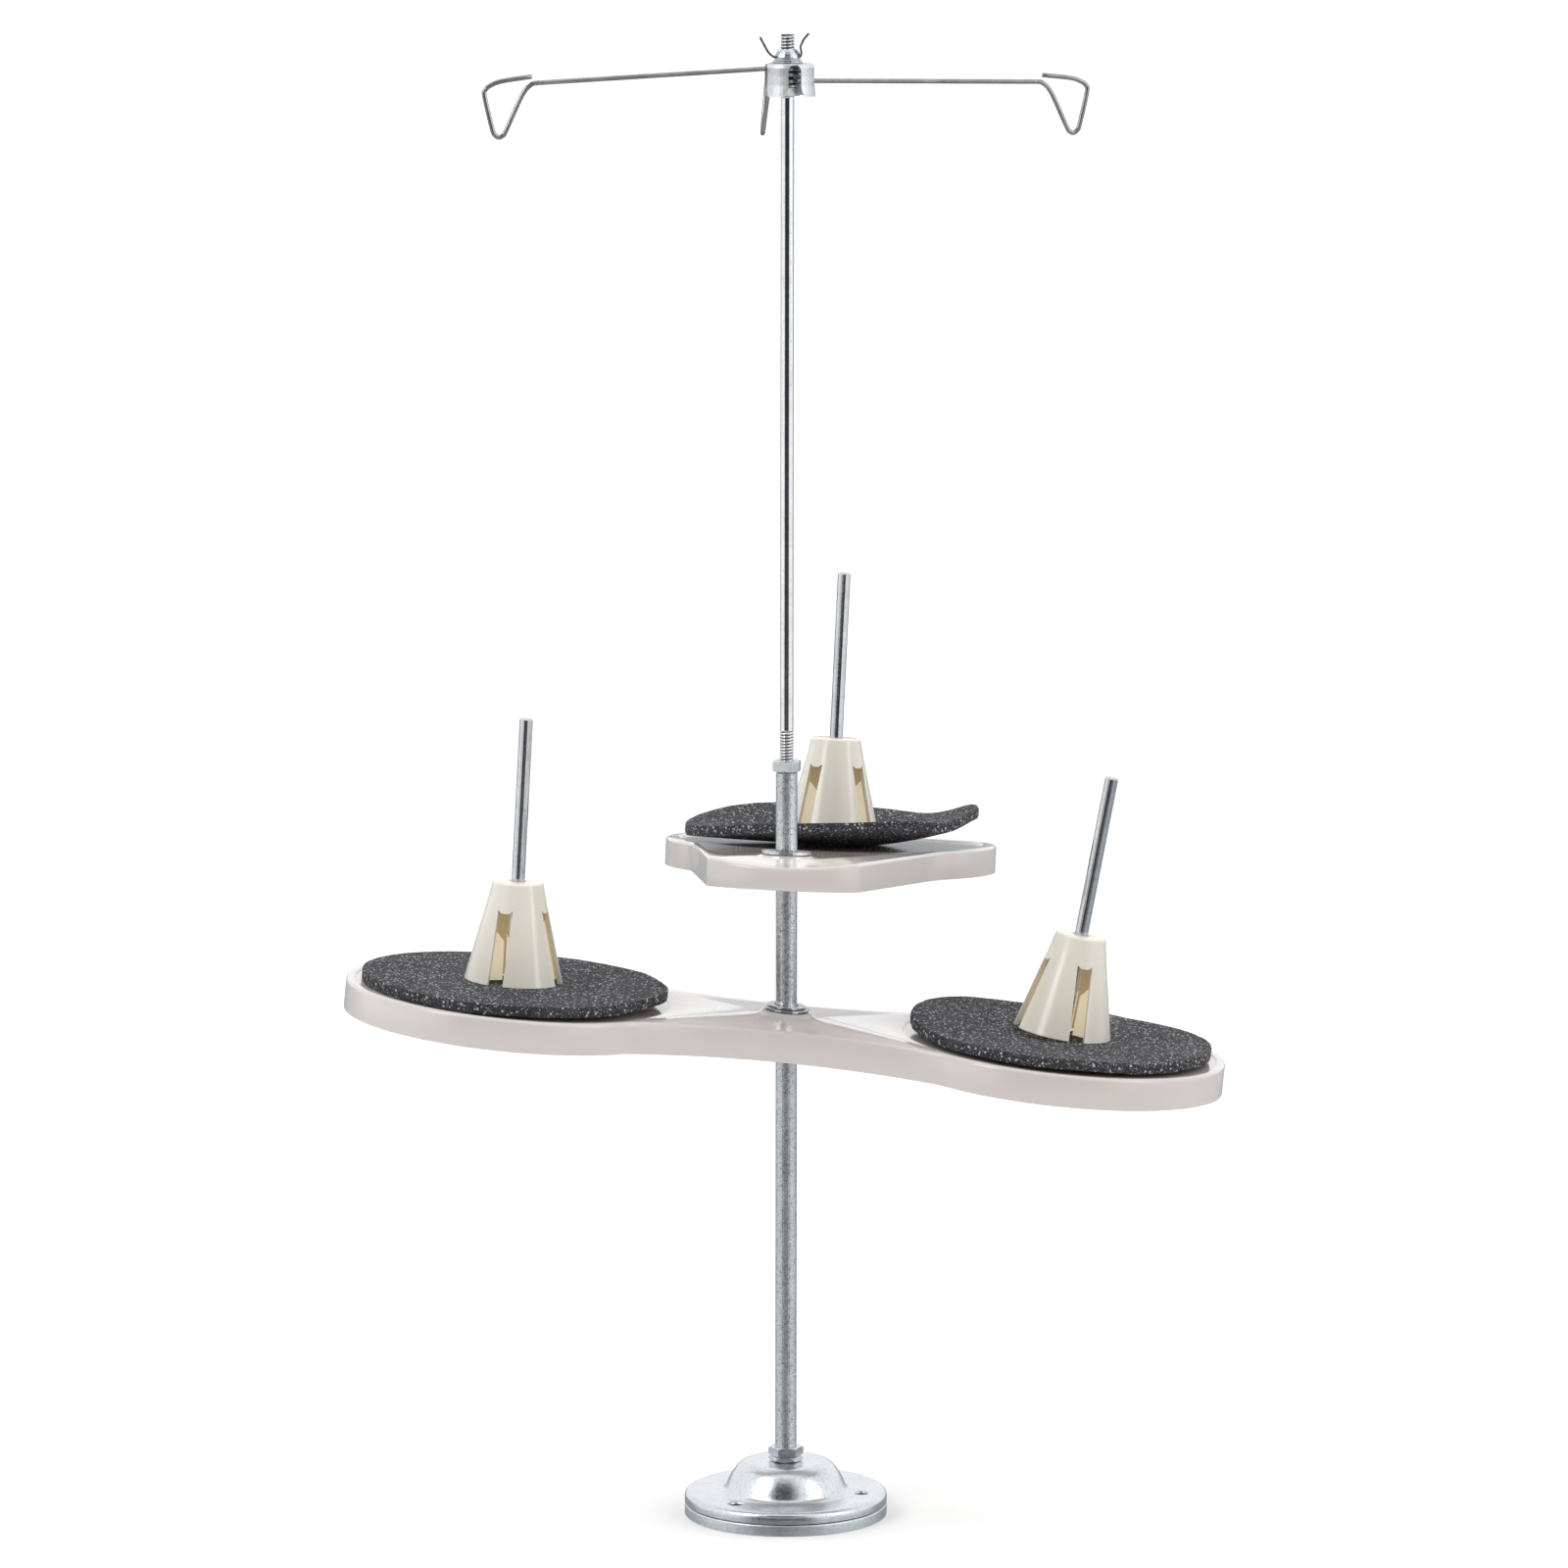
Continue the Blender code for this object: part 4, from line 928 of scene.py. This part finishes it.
def floor():
    """A pale round floor, which reflections don't see."""
    bm = bmesh.new()
    bmesh.ops.create_circle(bm, cap_ends=True, segments=96, radius=FLOOR_R)
    for v in bm.verts:
        v.co.z = -FLOOR_DROP
    mesh = bpy.data.meshes.new("floor")
    bm.to_mesh(mesh)
    bm.free()
    disc = bpy.data.objects.new("floor", mesh)
    bpy.context.scene.collection.objects.link(disc)
    mat, _, shader = new_material("floor_white")
    shader.inputs["Base Color"].default_value = (0.93, 0.93, 0.93, 1)
    shader.inputs["Roughness"].default_value = 0.9
    shader.inputs["Specular IOR Level"].default_value = 0.05
    shader.inputs["Emission Color"].default_value = (1, 1, 1, 1)
    shader.inputs["Emission Strength"].default_value = FLOOR_GLOW
    mesh.materials.append(mat)
    disc.visible_glossy = False


def sky():
    """White to the eye. Reflections see pale sides, a dark curtain in front and a grey wall low behind."""
    world = bpy.data.worlds.new("studio_sky")
    bpy.context.scene.world = world
    world.use_nodes = True
    tree = world.node_tree
    link = tree.links.new

    def sum_of(source, factor, addend):
        """source times factor, plus addend, which is a socket or a value."""
        made = node(tree, "ShaderNodeMath", operation="MULTIPLY_ADD")
        link(source, made.inputs[0])
        made.inputs[1].default_value = factor
        if isinstance(addend, float):
            made.inputs[2].default_value = addend
        else:
            link(addend, made.inputs[2])
        return made.outputs["Value"]

    direction = node(tree, "ShaderNodeTexCoord").outputs["Generated"]
    split = node(tree, "ShaderNodeSeparateXYZ")
    link(direction, split.inputs["Vector"])
    height = split.outputs["Z"]

    # front is the cosine of the bearing from straight ahead of the stand, turned a little to the left
    turned_by = node(tree, "ShaderNodeMapping")
    turned_by.inputs["Rotation"].default_value = (0, 0, math.radians(5.0))
    link(direction, turned_by.inputs["Vector"])
    level = node(tree, "ShaderNodeVectorMath", operation="MULTIPLY")
    level.inputs[1].default_value = (1, 1, 0)
    link(turned_by.outputs["Vector"], level.inputs[0])
    unit = node(tree, "ShaderNodeVectorMath", operation="NORMALIZE")
    link(level.outputs["Vector"], unit.inputs[0])
    ahead = node(tree, "ShaderNodeVectorMath", operation="DOT_PRODUCT")
    ahead.inputs[1].default_value = (0, -1, 0)
    link(unit.outputs["Vector"], ahead.inputs[0])
    front = ahead.outputs["Value"]

    # upward is 0 straight down, 0.5 at the horizon and 1 straight up. The curtain's gap is there so that the
    # base plate isn't black from behind
    upward = sum_of(height, 0.5, 0.5)
    curtain = [(0.0, 0.8), (0.35, 0.4), (0.38, 0.22), (0.41, 0.14), (0.44, 0.04), (0.55, 0.03)]
    curtain += [(0.58, 0.6), (0.69, 0.6), (0.71, 0.03), (0.88, 0.05), (0.96, 1.0)]
    dark = grey_ramp(tree, upward, curtain)
    pale = [(0.0, (0.5, 0.52, 0.54)), (0.36, (0.42, 0.46, 0.49)), (0.39, (0.5, 0.54, 0.57))]
    pale += [(0.42, (0.95, 0.95, 0.95)), (0.44, (1.0, 1.0, 1.0))]
    sides = ramp(tree, upward, pale)
    back_wall = grey_ramp(tree, sum_of(front, -1.0, 0.0), [(0.35, 0.0), (0.6, 1.0)])
    below = grey_ramp(tree, upward, [(0.495, 1.0), (0.515, 0.0)])
    sides = mix(tree, mix(tree, 1.0, back_wall, below, "MULTIPLY"), sides, (0.33, 0.35, 0.37))
    # the curtain's edges draw in with height
    hung = grey_ramp(tree, sum_of(height, -0.12, front), [(0.73, 0.0), (0.86, 1.0)])
    glossy = mix(tree, hung, sides, dark)
    diffuse = grey_ramp(tree, front, [(0.0, 1.0), (0.6, 0.72), (0.9, 0.34)])

    rays = node(tree, "ShaderNodeLightPath")
    seen = mix(tree, rays.outputs["Is Glossy Ray"], diffuse, glossy)
    seen = mix(tree, rays.outputs["Is Camera Ray"], seen, (1.0, 1.0, 1.0))
    back = tree.nodes["Background"]
    link(seen, back.inputs["Color"])
    back.inputs["Strength"].default_value = SKY_STRENGTH


def facing(where, target):
    """The rotation that points -Z from where to target."""
    return (Vector(target) - Vector(where)).to_track_quat("-Z", "Y")


def lamps():
    for name, (where, size, power, reflected) in LAMPS.items():
        data = bpy.data.lights.new(name, "AREA")
        data.shape = "RECTANGLE"
        data.size, data.size_y = size
        data.energy = power
        lamp = bpy.data.objects.new(name, data)
        bpy.context.scene.collection.objects.link(lamp)
        lamp.location = where
        lamp.rotation_mode = "QUATERNION"
        lamp.rotation_quaternion = facing(where, LAMP_TARGET)
        lamp.visible_glossy = reflected


def studio():
    floor()
    sky()
    lamps()
    bpy.context.scene.view_settings.view_transform = "Standard"


def camera():
    data = bpy.data.cameras.new("camera")
    cam = bpy.data.objects.new("camera", data)
    bpy.context.scene.collection.objects.link(cam)
    data.sensor_width = 36.0
    data.lens = CAMERA_LENS
    data.clip_start = 0.1
    data.clip_end = 60
    cam.location = CAMERA_AT
    cam.rotation_mode = "QUATERNION"
    roll = Quaternion((0, 0, 1), math.radians(CAMERA_ROLL))
    cam.rotation_quaternion = facing(CAMERA_AT, CAMERA_TARGET) @ roll
    bpy.context.scene.camera = cam


dress_cad()
upper_rod()
base_and_nuts()
thread_guides()
trays()
cones()
pads()
studio()
camera()
